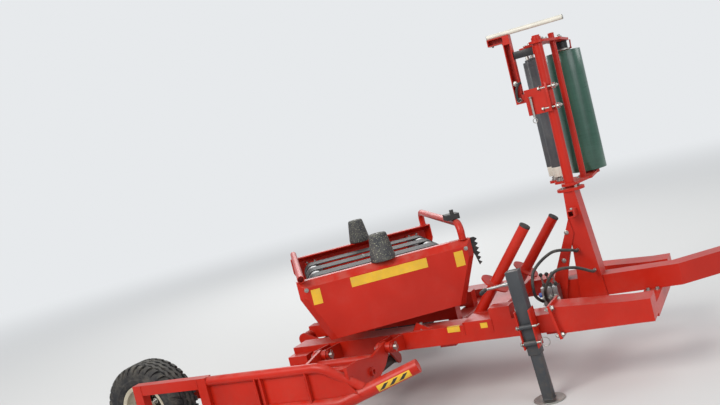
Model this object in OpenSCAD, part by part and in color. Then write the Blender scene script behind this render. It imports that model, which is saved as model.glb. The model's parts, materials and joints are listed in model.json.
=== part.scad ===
// Trailed round-bale wrapper: a turning table on a tilting frame, a side loader,
// a film dispenser on a mast, two staggered wheels and a screw jack.
// X points to the towing end, Y to the left, Z up. The ground is at Z = 0.

/* [Wheels] */
// Outside diameter of the tyres
tyre_d = 580; // [560:10:620]
// Width of the tyres
tyre_w = 210; // [180:5:240]
// Diameter of the tyre's seat on the rim
rim_d = 306; // [300:2:330]
// Right wheel behind the table's axis
wheel_right_back = 1330; // [1250:10:1500]
// Right wheel's middle out from the table's axis
wheel_right_out = 860; // [850:10:950]
// Left wheel behind the table's axis
wheel_left_back = 360; // [340:10:370]
// Left wheel's middle out from the table's axis
wheel_left_out = 940; // [920:10:1050]

/* [Frame] */
// Distance of each rail's middle from the table's axis
rail_out = 450; // [420:5:480]
// Width of a rail
rail_w = 160; // [120:5:180]
// Height of a rail
rail_h = 100; // [80:5:120]
// Height of the cross beams' upper face over the ground
rail_top = 400; // [390:5:410]
// How much higher the rails lie than the cross beams
rail_lift = 55; // [40:5:60]
// Rear end of the rails behind the table's axis
frame_back = 420; // [410:5:440]
// Flange joint at the rails' front
frame_front = 1240; // [1230:10:1260]
// Front cross beam ahead of the table's axis
nose_front = 1740; // [1700:10:1900]
// Towing eye ahead of the table's axis
eye_front = 2400; // [2300:10:2600]
// Towing eye to the left of the table's axis
eye_left = 420; // [300:10:500]
// Diameter of the towing eye's hole
eye_bore = 50; // [40:1:60]

/* [Table] */
// Angle of the table as it stands
table_angle = 32; // [28:1:36]
// Width of an end panel at its top
panel_w = 1040; // [960:10:1050]
// Width of an end panel at its bottom
panel_foot_w = 810; // [700:10:840]
// Height of the panels' lower edge
panel_bottom = 530; // [525:5:540]
// Height of the panels' upper edge
panel_top = 900; // [880:5:920]
// Distance of a panel's outer face from the table's axis
panel_out = 680; // [660:5:690]
// Depth of the folded panel
panel_depth = 90; // [70:5:100]
// Thickness of the panel's sheet
sheet = 8; // [4:1:10]
// Width of the bevel round the panel's face
bevel = 38; // [20:2:45]
// Diameter of the two bale rollers
roller_d = 120; // [100:2:130]
// Distance of each roller's axis from the table's middle
roller_out = 380; // [340:5:390]
// Height of the rollers' axes
roller_z = 790; // [770:5:800]
// Thickness of the belts
belt_t = 5; // [3:1:8]
// Width of one belt
belt_w = 170; // [120:5:200]

/* [Loader] */
// Height of the loader's hinge
loader_hinge_z = 430; // [420:2:440]
// Distance of the loader's hinge from the table's axis
loader_hinge_out = 700; // [690:5:720]
// Distance of the loader's side frame from the table's axis
loader_out = 1200; // [1180:10:1260]
// Diameter of the loader's tines
tine_d = 74; // [60:2:80]
// Distance of the outer tine from the table's axis
outer_tine_out = 2100; // [2000:10:2200]
// Height of the outer tine
outer_tine_z = 160; // [130:5:200]
// Diameter of the bent top rail
top_rail_d = 54; // [44:2:60]

/* [Mast] */
// Mast ahead of the table's axis
mast_front = 1355; // [1330:5:1400]
// Diameter of the mast's tube
mast_d = 57; // [50:1:64]
// Height of the mast's top
mast_top = 1930; // [1880:10:1980]
// Height of the flange at the foot of the mast's tube
mast_flange_z = 1030; // [1000:5:1040]
// Diameter of the film roll
film_d = 215; // [160:5:230]
// Width of the film
film_w = 750; // [500:10:760]
// Diameter of a spare roll's post
post_d = 62; // [50:1:68]
// Length of a spare roll's post above its seat
post_l = 390; // [340:10:450]

/* [Jack] */
// Width of the jack's square sleeve
jack_w = 70; // [60:2:80]
// Jack ahead of the table's axis
jack_front = 1100; // [1080:5:1110]
// Lean of the jack, its foot forward
jack_lean = 3; // [0:1:5]
// Diameter of the jack's foot
foot_d = 170; // [140:5:200]

/* [Hidden] */

$fn = 64;
RED = [0.80, 0.12, 0.08];
GREY = [0.25, 0.27, 0.29];
BLACK = [0.08, 0.08, 0.08];
ZINC = [0.72, 0.72, 0.70];
STEEL = [0.45, 0.46, 0.47];
CREAM = [0.85, 0.83, 0.75];
FILM = [0.16, 0.42, 0.30];

// Clearances: a pin in its bore, a turning piece at its seat, a bolted joint
pin_gap = 0.08;
seat_gap = 0.3;
joint_gap = 0.2;

// Driving places worked out from the sizes above
tyre_r = tyre_d / 2;
wheel_right = [-wheel_right_back, -wheel_right_out];
wheel_left = [-wheel_left_back, wheel_left_out];
rail_z = rail_top - rail_h;
rail_outer = rail_out + rail_w / 2;
rail_inner = rail_out - rail_w / 2;
rail_under = rail_z + rail_lift;
rail_over = rail_top + rail_lift;
eye_r = 55;
outer_tine_r = tine_d / 2;

// The origin is under the middle of the whole machine's box
box_x = (eye_front + eye_r - wheel_right_back - tyre_r) / 2;
box_y = (wheel_left_out + tyre_w / 2 - outer_tine_out - outer_tine_r) / 2;
module in_frame() translate([-box_x, -box_y, 0]) children();
module in_table() in_frame() rotate([0, 0, table_angle]) children();

// Basic shapes
module box(low, high) translate(low) cube(high - low);
module rod(from, to, r, fn = 48) {
    run = to - from;
    turn = atan2(run[1], run[0]);
    lean = atan2(norm([run[0], run[1]]), run[2]);
    translate(from) rotate([0, lean, turn]) cylinder(h = norm(run), r = r, $fn = fn);
}
function unit(v) = v / norm(v);
// A tube through the points p, with a round bend of radius bend at each inner one.
// A pressed bend is a little fuller than the straight tube that runs into it.
bend_swell = 0.6;
bend_lap = 5;
function turn_at(p, i) = acos(unit(p[i] - p[i - 1]) * unit(p[i + 1] - p[i]));
function cut_at(p, i, bend) = i == 0 || i == len(p) - 1 ? 0 : bend * tan(turn_at(p, i) / 2);
module elbow(corner, before, after, turn, cut, r, bend) {
    inward = unit(after - (before * after) * before);
    centre = corner - cut * before + bend * inward;
    across = cross(-inward, before);
    multmatrix([for (k = [0:2]) [-inward[k], before[k], across[k], centre[k]]])
        rotate_extrude(angle = turn, $fn = 96) translate([bend, 0]) circle(r + bend_swell, $fn = 48);
}
module bent_tube(p, r, bend) {
    for (i = [0:len(p) - 2]) {
        along = unit(p[i + 1] - p[i]);
        start = i == 0 ? 0 : cut_at(p, i, bend) - bend_lap;
        stop = i == len(p) - 2 ? 0 : cut_at(p, i + 1, bend) - bend_lap;
        rod(p[i] + start * along, p[i + 1] - stop * along, r);
    }
    for (i = [1:len(p) - 2])
        elbow(p[i], unit(p[i] - p[i - 1]), unit(p[i + 1] - p[i]), turn_at(p, i), cut_at(p, i, bend), r, bend);
}
// A plate standing across X, drawn in (Y, Z)
module plate_x(x, t) translate([x - t / 2, 0, 0]) rotate([90, 0, 90]) linear_extrude(t) children();
// A plate standing across Y, drawn in (X, Z)
module plate_y(y, t) translate([0, y + t / 2, 0]) rotate([90, 0, 0]) linear_extrude(t) children();
// A flat strap with a round boss at each end
module strap(p, q, w) {
    run = q - p;
    translate(p) circle(d = w + 6);
    translate(q) circle(d = w + 6);
    translate(p) rotate(atan2(run[1], run[0])) translate([0, -w / 2]) square([norm(run), w]);
}
// An eye and the plate that carries it, through the points of a table
module ear(eye, r, foot) {
    translate(eye) circle(r);
    polygon(foot);
}

// Wheels
axle_r = 25;
hub_r = 48;
hub_l = 150;
rim_half = 92;
disc_offset = 30;
module at_wheel(place, side) in_frame() translate([place[0], place[1], tyre_r])
    scale([1, side, 1]) rotate([-90, 0, 0]) children();
module tyre() rotate_extrude($fn = 96) {
    bead = rim_d / 2 + seat_gap;
    half = tyre_w / 2;
    toe = rim_half - 14;
    polygon([[bead, -toe], [bead + 15, -toe - 5], [bead + 17, -half + 14], [bead + 60, -half],
             [tyre_r - 52, -half + 4], [tyre_r - 16, -half + 20], [tyre_r - 4, -half + 52], [tyre_r, 0],
             [tyre_r - 4, half - 52], [tyre_r - 16, half - 20], [tyre_r - 52, half - 4], [bead + 60, half],
             [bead + 17, half - 14], [bead + 15, toe + 5], [bead, toe], [bead + 12, toe - 10],
             [bead + 12, -toe + 10]]);
}
module rim() difference() {
    seat = rim_d / 2;
    rotate_extrude($fn = 96) {
        polygon([[seat - 10, -rim_half], [seat + 14, -rim_half], [seat + 14, -rim_half + 6], [seat, -rim_half + 10],
                 [seat, rim_half - 10], [seat + 14, rim_half - 6], [seat + 14, rim_half], [seat - 10, rim_half]]);
        polygon([[axle_r + pin_gap, -hub_l / 2], [hub_r, -hub_l / 2], [hub_r, disc_offset - 8],
                 [hub_r + 40, disc_offset - 8], [seat - 30, disc_offset - 34], [seat - 5, disc_offset - 34],
                 [seat - 5, disc_offset - 22], [seat - 34, disc_offset - 22], [hub_r + 46, disc_offset + 4],
                 [hub_r, disc_offset + 4], [hub_r, hub_l / 2], [axle_r + pin_gap, hub_l / 2]]);
    }
    for (a = [36:72:350]) rotate(a) translate([seat - 50, 0, -60]) cylinder(h = 120, r = 11, $fn = 24);
}
module tyre_right() color(BLACK) at_wheel(wheel_right, -1) tyre();
module rim_right() color(CREAM) at_wheel(wheel_right, -1) rim();
module tyre_left() color(BLACK) at_wheel(wheel_left, 1) tyre();
module rim_left() color(CREAM) at_wheel(wheel_left, 1) rim();

// Each axle: a square-shouldered stub from the frame's beam through the hub, with a nut
beam_out = 650;
beam_w = 80;
axle_beam_low = tyre_r - 40;
stub_from_right = beam_out + beam_w / 2;
stub_from_left = rail_outer + 170;
module stub_axle(place, side, from) at_wheel(place, side) {
    inner = abs(place[1]) - from;
    translate([0, 0, -inner]) cylinder(h = inner - hub_l / 2 - 1, r = 34);
    translate([0, 0, -inner]) cylinder(h = inner + hub_l / 2 + 22, r = axle_r);
    translate([0, 0, hub_l / 2 + 1]) cylinder(h = 16, r = 36, $fn = 6);
}
module stub_axles() color(GREY) {
    stub_axle(wheel_right, -1, stub_from_right);
    stub_axle(wheel_left, 1, stub_from_left);
}

// Main frame: two rails, cross beams, the tilting frame's ears and the post beam
cross_w = 100;
tilt_x = -480;
tilt_z = 440;
tilt_pin_r = 20;
ear_t = 15;
hinge_half = 270;
mid_x = 530;
post_beam_x = [715, 885];
post_beam_top = 470;
rest_top = 419.7;
cyl_pin_r = 20;
tilt_cyl_y = 245;
tilt_foot = [-230, 220];
tilt_head = [300, 420];
lift_x = 65;
lift_foot = [-200, 220];
lift_head = [-loader_hinge_out, 230];
cyl_gap = 38;
cyl_ear_t = 12;
module cross(x, w = cross_w, top = rail_top)
    box([x - w / 2, -rail_inner, rail_z], [x + w / 2, rail_inner, top]);
flange_lean = 10;
function flange_at(z) = frame_front - (z - rail_z - rail_h / 2) * tan(flange_lean);
module main_frame() color(RED) in_frame() {
    for (side = [-1, 1]) {
        plate_y(side * rail_out, rail_w)
            polygon([[-frame_back, rail_under], [flange_at(rail_under) - joint_gap, rail_under],
                     [flange_at(rail_over) - joint_gap, rail_over], [-frame_back, rail_over]]);
        plate_y(side * (hinge_half + seat_gap + ear_t / 2), ear_t)
            ear([tilt_x, tilt_z], 40, [[tilt_x - 36, tilt_z - 17], [-frame_back, rail_z],
                [-frame_back + cross_w, rail_top], [tilt_x + 20, tilt_z + 34]]);
        box([mid_x - 30, side * 160 - 40, rail_top], [mid_x + 30, side * 160 + 40, rest_top]);
    }
    for (x = [-frame_back + cross_w / 2, mid_x, frame_front - cross_w / 2 - 15]) cross(x);
    rod([tilt_x, -hinge_half - ear_t, tilt_z], [tilt_x, hinge_half + ear_t, tilt_z], tilt_pin_r);
    box([post_beam_x[0], -rail_outer, rail_top], [post_beam_x[1], rail_outer, post_beam_top]);
    // Left axle's outrigger
    box([wheel_left[0] - 50, rail_outer, axle_beam_low], [wheel_left[0] + 50, stub_from_left, rail_over - 35]);
    // Tilt cylinder's lower ears and pin
    for (side = [-1, 1]) plate_y(tilt_cyl_y + side * (cyl_gap + cyl_ear_t / 2), cyl_ear_t)
        ear(tilt_foot, 34, [[-frame_back + 20, rail_z], [tilt_foot[0] - 24, tilt_foot[1] - 24],
            [tilt_foot[0] + 22, tilt_foot[1] + 26], [-frame_back + cross_w, rail_top - 40],
            [-frame_back + 20, rail_top - 40]]);
    rod([tilt_foot[0], tilt_cyl_y - cyl_gap - cyl_ear_t, tilt_foot[1]],
        [tilt_foot[0], tilt_cyl_y + cyl_gap + cyl_ear_t, tilt_foot[1]], cyl_pin_r);
    // Loader cylinder's inner ears and pin
    for (side = [-1, 1]) plate_x(lift_x + side * (cyl_gap + cyl_ear_t / 2), cyl_ear_t)
        ear(lift_foot, 32, [[-rail_inner, rail_under], [-rail_inner, rail_over - 20],
            [lift_foot[0] + 26, lift_foot[1] + 18], [lift_foot[0] - 14, lift_foot[1] - 28]]);
    rod([lift_x - cyl_gap - cyl_ear_t, lift_foot[0], lift_foot[1]],
        [lift_x + cyl_gap + cyl_ear_t, lift_foot[0], lift_foot[1]], cyl_pin_r - 4);
    // Box bracket and gusset on the right rail
    box([880, -rail_outer, rail_over - 5], [1000, -rail_outer + 90, rail_over + 75]);
    plate_y(-rail_outer + 30, 8) polygon([[390, rail_over - 5], [510, rail_over - 5], [425, rail_over + 45]]);
}

// Beam that carries the right wheel behind the loader
module wheel_beam() color(RED) in_frame() {
    top = axle_beam_low + 90;
    low = axle_beam_low;
    box([-wheel_right_back - 60, -stub_from_right, low], [-frame_back + 130, -stub_from_right + beam_w, top]);
    box([-frame_back, -stub_from_right + beam_w - 1, low], [-frame_back + 130, -rail_outer, rail_over - 35]);
    plate_y(-stub_from_right + beam_w / 2, 10)
        polygon([[-wheel_right_back - 60, top], [-wheel_right_back + 90, top],
                 [-wheel_right_back + 40, top + 40], [-wheel_right_back - 40, top + 40]]);
}

// Front frame: leaning flanges, tapering boxes and the nose beam
flange_t = 15;
flange_h = 190;
flange_low = 316;
nose_w = 100;
module at_flange(y) translate([flange_at(flange_low), y, flange_low]) rotate([0, -flange_lean, 0]) children();
module front_frame() color(RED) in_frame() {
    reach = flange_t / cos(flange_lean);
    for (side = [-1, 1]) {
        difference() {
            at_flange(side * rail_out) translate([0, -110, 0]) cube([flange_t, 220, flange_h]);
            for (dz = [20, flange_h - 20], dy = [-92, 92]) at_flange(side * rail_out + dy)
                translate([-5, 0, dz]) rotate([0, 90, 0]) cylinder(h = 30, r = 9, $fn = 24);
        }
        plate_y(side * rail_out, rail_w)
            polygon([[flange_at(340) + reach - 1, 340], [flange_at(488) + reach - 1, 488],
                     [nose_front - nose_w, 465], [nose_front, 465], [nose_front, 345], [nose_front - nose_w, 345]]);
    }
    box([nose_front - nose_w, -rail_inner, 325], [nose_front, rail_inner, rail_top]);
}

// Drawbar: a level beam on the cross beams that slants to the eye, in one plan outline
drawbar_w = 120;
drawbar_top = rail_top + 120;
bend_x = 1830;
eye_z = rail_top + drawbar_w / 2;
eye_t = 30;
slant = atan2(eye_left, eye_front - bend_x);
slant_l = norm([eye_front - bend_x, eye_left]);
module along_slant() translate([bend_x, 0]) rotate(slant) children();
module drawbar() color(RED) in_frame() {
    half = drawbar_w / 2;
    mitre = half * tan(slant / 2);
    beam_end = slant_l - 210;
    side = [cos(slant), sin(slant)];
    out = [-sin(slant), cos(slant)];
    corner = [bend_x, 0];
    translate([0, 0, rail_top]) linear_extrude(drawbar_w)
        polygon([[frame_front - 115, -half], [bend_x + mitre, -half], corner + beam_end * side - half * out,
                 corner + beam_end * side + half * out, [bend_x - mitre, half], [frame_front - 115, half]]);
    // Tapering head and the eye's shank
    translate([0, 0, eye_z - 35]) linear_extrude(70) along_slant()
        polygon([[beam_end - 20, -48], [beam_end + 40, -46], [beam_end + 90, -28], [beam_end + 90, 28],
                 [beam_end + 40, 46], [beam_end - 20, 48]]);
    translate([0, 0, eye_z - eye_t / 2]) linear_extrude(eye_t) difference() {
        union() {
            translate([eye_front, eye_left]) circle(eye_r);
            along_slant() translate([beam_end + 60, -32]) square([slant_l - beam_end - 90, 64]);
        }
        translate([eye_front, eye_left]) circle(d = eye_bore);
    }
}

// Loader hinge: two pairs of ears on the right rail, each with its pin
arm_x = [-130, 290];
boss_half = 28;
hinge_ear_t = 14;
hinge_pin_r = 15;
module loader_brackets() color(RED) in_frame() for (x = arm_x) {
    for (side = [-1, 1]) plate_x(x + side * (boss_half + seat_gap + hinge_ear_t / 2), hinge_ear_t)
        ear([-loader_hinge_out, loader_hinge_z], 33, [[-rail_outer, rail_under + 2], [-loader_hinge_out - 12, loader_hinge_z - 31],
            [-loader_hinge_out - 6, loader_hinge_z + 32], [-rail_outer, rail_over - 5]]);
    rod([x - 62, -loader_hinge_out, loader_hinge_z], [x + 78, -loader_hinge_out, loader_hinge_z], hinge_pin_r);
}

// Jack, leaning with its foot forward; local Z runs up along the sleeve
jack_y = -rail_outer - 8 - jack_w / 2;
jack_top = 730;
sleeve_low = 260;
leg_top = 500;
leg_w = jack_w - 2 * 6 - 2 * seat_gap;
foot_t = 10;
module at_jack() in_frame() translate([jack_front, jack_y, rail_z + rail_h / 2]) rotate([0, -jack_lean, 0])
    translate([0, 0, -rail_z - rail_h / 2]) children();
module jack_sleeve() color(GREY) at_jack() {
    difference() {
        box([-jack_w / 2, -jack_w / 2, sleeve_low], [jack_w / 2, jack_w / 2, jack_top]);
        box([-jack_w / 2 + 6, -jack_w / 2 + 6, sleeve_low - 1], [jack_w / 2 - 6, jack_w / 2 - 6, jack_top - 20]);
    }
    // Channel that holds the sleeve on the rail, open to the outside
    flange_half = jack_w / 2 + 8;
    for (side = [-1, 1]) box([side > 0 ? jack_w / 2 : -flange_half, -jack_w / 2 - 20, sleeve_low],
                             [side > 0 ? flange_half : -jack_w / 2, jack_w / 2 + 8, rail_top + 30]);
    box([-flange_half, jack_w / 2, sleeve_low], [flange_half, jack_w / 2 + 8, rail_top + 30]);
    for (z = [rail_z - 30, rail_top - 10])
        rod([-flange_half - 14, -jack_w / 2 - 12, z], [flange_half + 30, -jack_w / 2 - 12, z], 7);
}
module jack_crank() color(BLACK) at_jack() {
    shaft = [-jack_w / 2, 0, 661];
    knee = [-jack_w / 2 - 142, 0, 655];
    rod(shaft, shaft - [34, 0, 0], 11);
    rod(shaft - [28, 0, 0], knee, 8);
    rod(knee + [0, 8, 0], knee - [0, 85, 0], 13);
}
module jack_leg() color(GREY) {
    at_jack() difference() {
        box([-leg_w / 2, -leg_w / 2, foot_t], [leg_w / 2, leg_w / 2, leg_top]);
        translate([0, 0, -20]) rotate([0, jack_lean, 0]) box([-300, -300, -100], [300, 300, foot_t + 20]);
    }
    in_frame() translate([foot_x, jack_y, 0]) cylinder(h = foot_t + 14, d1 = foot_d, d2 = foot_d);
}
foot_x = jack_front + (rail_z + rail_h / 2) * sin(jack_lean);

// Tilting frame with the turning table's seat
bearing_r = 210;
bearing_z = 512;
pivot_r = 30;
tilt_front = 560;
tilt_low = 420;
tilt_high = 500;
module tilt_frame() color(RED) in_frame() difference() {
    union() {
        for (side = [-1, 1]) box([tilt_x, side * 160 - 40, tilt_low], [tilt_front, side * 160 + 40, tilt_high]);
        rod([tilt_x, -hinge_half, tilt_z], [tilt_x, hinge_half, tilt_z], 36);
        box([250, -200, 465], [350, tilt_cyl_y + cyl_gap + cyl_ear_t, tilt_high]);
        box([-230, -200, 470], [230, 200, tilt_high]);
        translate([0, 0, tilt_high - 1]) cylinder(h = bearing_z - tilt_high + 1, r = bearing_r);
        translate([0, 0, tilt_high]) cylinder(h = 40, r = pivot_r);
        for (side = [-1, 1]) plate_y(tilt_cyl_y + side * (cyl_gap + cyl_ear_t / 2), cyl_ear_t)
            ear(tilt_head, 32, [[tilt_head[0] - 30, tilt_head[1]], [tilt_head[0] + 30, tilt_head[1]],
                [tilt_head[0] + 45, 470], [tilt_head[0] - 45, 470]]);
    }
    rod([tilt_x, -hinge_half - 1, tilt_z], [tilt_x, hinge_half + 1, tilt_z], tilt_pin_r + pin_gap);
}
module table_motor() color(BLACK) in_frame() {
    translate([0, 0, 300]) cylinder(h = 110, r = 52);
    translate([0, 0, 400]) cylinder(h = 70, r = 70);
    box([-95, -30, 330], [-45, 30, 380]);
}

// Hydraulic cylinders: length and direction come from their two ends
barrel_gland = 12;
port_h = 16;
function run_of(a, b) = b - a;
tilt_run = run_of(tilt_foot, tilt_head);
lift_run = run_of(lift_foot, lift_head);
tilt_rise = atan2(tilt_run[1], tilt_run[0]);
lift_rise = atan2(lift_run[1], -lift_run[0]);
// Local X runs from the lower pin to the upper one
module at_tilt_cylinder() in_frame() translate([tilt_foot[0], tilt_cyl_y, tilt_foot[1]])
    rotate([0, -tilt_rise, 0]) children();
module at_lift_cylinder() in_frame() translate([lift_x, lift_foot[0], lift_foot[1]])
    rotate([0, 0, -90]) rotate([0, -lift_rise, 0]) children();
module barrel(l, r, eye, pin, start) difference() {
    union() {
        rotate([90, 0, 0]) translate([0, 0, -eye]) cylinder(h = 2 * eye, r = pin + 12);
        rotate([0, 90, 0]) translate([0, 0, pin + 4]) cylinder(h = l - pin - 4, r = r);
        translate([l - 60, 0, r - 4]) cylinder(h = port_h, r = 10, $fn = 24);
        translate([pin + 34, 0, r - 4]) cylinder(h = port_h, r = 10, $fn = 24);
    }
    rotate([90, 0, 0]) translate([0, 0, -eye - 1]) cylinder(h = 2 * eye + 2, r = pin + pin_gap);
    rotate([0, 90, 0]) translate([0, 0, start]) cylinder(h = l - start - barrel_gland, r = r - 6);
    rotate([0, 90, 0]) translate([0, 0, start]) cylinder(h = l, r = pin - 3 + seat_gap);
}
module piston_rod(piston, l, r, eye, pin) {
    rotate([0, 90, 0]) translate([0, 0, piston]) cylinder(h = l - piston - pin, r = pin - 3);
    rotate([0, 90, 0]) translate([0, 0, piston]) cylinder(h = 14, r = r - 6 - seat_gap);
    difference() {
        translate([l, 0, 0]) rotate([90, 0, 0]) translate([0, 0, -eye]) cylinder(h = 2 * eye, r = pin + 8);
        translate([l, 0, 0]) rotate([90, 0, 0]) translate([0, 0, -eye - 1]) cylinder(h = 2 * eye + 2, r = pin);
    }
}
cyl_eye = cyl_gap - 4;
module tilt_barrel() color(BLACK) at_tilt_cylinder() barrel(460, 36, cyl_eye, cyl_pin_r, 110);
module tilt_rod() color(ZINC) at_tilt_cylinder() piston_rod(125, norm(tilt_run), 36, cyl_eye, cyl_pin_r);
module lift_barrel() color(BLACK) at_lift_cylinder() barrel(300, 28, cyl_eye, cyl_pin_r - 4, 80);
module lift_rod() color(ZINC) at_lift_cylinder() piston_rod(95, norm(lift_run), 28, cyl_eye, cyl_pin_r - 4);

// Turning table
journal_r = 15;
bearing_in = 50;
module panel_outline(inset = 0, top_inset = 0) polygon([
    [-panel_foot_w / 2 + inset, panel_bottom + (inset > sheet ? sheet : inset)],
    [panel_foot_w / 2 - inset, panel_bottom + (inset > sheet ? sheet : inset)],
    [panel_w / 2 - inset, panel_top - 100], [panel_w / 2 - inset, panel_top - top_inset],
    [-panel_w / 2 + inset, panel_top - top_inset], [-panel_w / 2 + inset, panel_top - 100]]);
// One folded end panel; its outer face looks along -Y
cone_pin_r = 12;
module end_panel() {
    face = -panel_out;
    back = -panel_out + panel_depth;
    difference() {
        hull() {
            plate_y(face + 1, 2) panel_outline(bevel, bevel);
            plate_y((face + bevel + back) / 2, back - face - bevel) panel_outline();
        }
        hull() {
            plate_y(face + sheet + 1, 2) panel_outline(bevel, bevel);
            plate_y((face + bevel + sheet + back) / 2 + 1, back - face - bevel - sheet + 2)
                panel_outline(sheet, sheet);
        }
    }
    // Bearing plates of the rollers, on the panel's face
    for (x = [-roller_out, roller_out]) difference() {
        box([x - 46, face + sheet, roller_z - 90], [x + 46, back - 12, roller_z + 62]);
        box([x - 34, face + sheet + 12, roller_z - 91], [x + 34, back - 26, roller_z + 50]);
        translate([x, back - 11, roller_z]) rotate([90, 0, 0]) cylinder(h = 16, r = journal_r + pin_gap);
    }
    translate([0, face + panel_depth / 2 + 6, panel_top - 1]) cylinder(h = 121, r = cone_pin_r);
}
module end_panel_near() color(RED) in_table() end_panel();
module end_panel_far() color(RED) in_table() rotate([0, 0, 180]) end_panel();
table_low = bearing_z + seat_gap;
beam_low = 560;
beam_high = 640;
module table_base() color(RED) in_table() difference() {
    union() {
        for (x = [-250, 250]) box([x - 40, -panel_out + sheet, beam_low], [x + 40, panel_out - sheet, beam_high]);
        translate([0, 0, table_low]) cylinder(h = beam_low - table_low + 10, r = bearing_r - 10);
        box([-290, -140, beam_low - 15], [290, 140, beam_low + 30]);
        for (y = [-430, 430]) box([-250, y - 30, beam_low], [250, y + 30, beam_high - 10]);
    }
    translate([0, 0, table_low - 1]) cylinder(h = 100, r = pivot_r + pin_gap);
}
module roller() {
    half = panel_out - panel_depth - 8;
    rotate([90, 0, 0]) translate([0, 0, -half]) cylinder(h = 2 * half, d = roller_d);
    reach = panel_out - panel_depth + 24;
    rotate([90, 0, 0]) translate([0, 0, -reach]) cylinder(h = 2 * reach, r = journal_r);
}
module roller_front() color(STEEL) in_table() translate([roller_out, 0, roller_z]) roller();
module roller_rear() color(STEEL) in_table() translate([-roller_out, 0, roller_z]) roller();
belt_y = [-435, -145, 145, 435];
belt_gap = 0.5;
module belt_loop(r) for (x = [-roller_out, roller_out]) translate([x, roller_z]) circle(r);
module table_belts() color(BLACK) in_table() for (y = belt_y) {
    inner = roller_d / 2 + belt_gap;
    outer = inner + belt_t;
    plate_y(y, belt_w) difference() {
        union() {
            belt_loop(outer);
            translate([-roller_out, roller_z - outer]) square([2 * roller_out, 2 * outer]);
        }
        union() {
            belt_loop(inner);
            translate([-roller_out, roller_z - inner]) square([2 * roller_out, 2 * inner]);
        }
    }
}
cone_l = 160;
module cone() difference() {
    rotate_extrude() polygon([[cone_pin_r + pin_gap, 0], [73, 0], [73, 26], [69, 44], [52, cone_l - 8],
                              [46, cone_l], [cone_pin_r + pin_gap, cone_l]]);
    translate([0, 0, 122]) cylinder(h = 10, r = cone_pin_r);
}
module at_cone() in_table() translate([0, -panel_out + panel_depth / 2 + 6, panel_top + seat_gap]) children();
module cone_near() color(BLACK) at_cone() cone();
module cone_far() color(BLACK) in_table() rotate([0, 0, 180])
    translate([0, -panel_out + panel_depth / 2 + 6, panel_top + seat_gap]) cone();

// Guard tubes: a straight one at the rear, a bowed one at the front
guard_r = 21;
module guard_tubes() color(RED) in_table() {
    rear_x = -panel_w / 2 + 30;
    edge = panel_out - panel_depth / 2;
    difference() {
        rod([rear_x, -panel_out - 24, panel_top + guard_r], [rear_x, panel_out + 24, panel_top + guard_r], guard_r);
        for (side = [-1, 1]) translate([rear_x, side * (panel_out + 25), panel_top + guard_r])
            rotate([side * 90, 0, 0]) cylinder(h = 40, r = guard_r - 4);
    }
    bow_x = panel_w / 2 - 42;
    rise = panel_top + 96;
    bent_tube([[bow_x, -edge, panel_top], [bow_x, -edge, rise], [bow_x, edge, rise], [bow_x, edge, panel_top]],
              guard_r, 60);
}

// Film catcher: a toothed strip and its clamp at the front end of the near panel
module film_catcher() color(BLACK) in_table() {
    x0 = panel_w / 2;
    y0 = -panel_out + 50;
    teeth = 6;
    pitch = 28;
    translate([0, y0, 0]) plate_y(0, 6) polygon(concat([[x0, panel_top - 90], [x0, panel_top - 90 + teeth * pitch - 80]],
        [for (i = [0:2 * teeth]) [x0 + 24 + (i % 2) * 18, panel_top - 2 - i * pitch / 2]], [[x0 + 10, panel_top - 90 - 20]]));
    box([x0 - 96, y0 + 46, panel_top + 97 + guard_r], [x0 - 16, y0 + 150, panel_top + 96 + guard_r + 34]);
    rod([x0 - 56, y0 + 60, panel_top + 96 + guard_r + 34], [x0 - 56, y0 + 60, panel_top + 96 + guard_r + 60], 12);
}

// Loader: swinging arms, side frame and two tines
arm_t = 18;
torsion = [-loader_hinge_out - 72, loader_hinge_z - 36];
side_y = -loader_out;
inner_z = 300;
module arm_profile() ear([-loader_hinge_out, loader_hinge_z], 36,
    [[-loader_hinge_out + 14, loader_hinge_z - 33], [-loader_hinge_out - 60, loader_hinge_z - 84],
     [-loader_hinge_out - 160, loader_hinge_z - 118], [side_y + 150, inner_z + 22], [side_y + 4, inner_z + 22],
     [side_y + 4, inner_z + 186], [side_y + 150, inner_z + 176], [-loader_hinge_out - 190, loader_hinge_z + 10],
     [-loader_hinge_out - 8, loader_hinge_z + 35]]);
module loader_arms() color(RED) in_frame() difference() {
    union() {
        for (x = arm_x) {
            plate_x(x, arm_t) arm_profile();
            rod([x - boss_half, -loader_hinge_out, loader_hinge_z], [x + boss_half, -loader_hinge_out, loader_hinge_z], 30);
        }
        rod([arm_x[0], torsion[0], torsion[1]], [arm_x[1], torsion[0], torsion[1]], 27);
        rod([arm_x[0], side_y + 200, 420], [arm_x[1], side_y + 200, 420], 20);
        rod([arm_x[1] - 24, side_y + 262, 372], [arm_x[1] + 24, side_y + 262, 372], 24);
        for (side = [-1, 1]) plate_x(lift_x + side * (cyl_gap + cyl_ear_t / 2), cyl_ear_t)
            ear(lift_head, 30, [[lift_head[0] + 28, lift_head[1] + 10], [lift_head[0] - 28, lift_head[1] - 10],
                [torsion[0] - 24, torsion[1] - 10], [torsion[0] + 24, torsion[1] + 10]]);
    }
    inner_tine_shape(tine_d / 2 + seat_gap);
    for (x = arm_x) rod([x - 40, -loader_hinge_out, loader_hinge_z], [x + 40, -loader_hinge_out, loader_hinge_z],
                        hinge_pin_r + pin_gap);
    rod([arm_x[1] - 30, side_y + 262, 372], [arm_x[1] + 30, side_y + 262, 372], 13);
}
frame_x = [-1110, -580];
frame_top = 530;
frame_low = inner_z - tine_d / 2;
tube_w = 60;
tine_bend = [220, side_y, inner_z];
tine_tip = [644, side_y + 120, 420];
tine_back = [frame_x[1], side_y, inner_z];
module inner_tine_shape(r) bent_tube([tine_back, tine_bend, tine_tip], r, 180);
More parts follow.
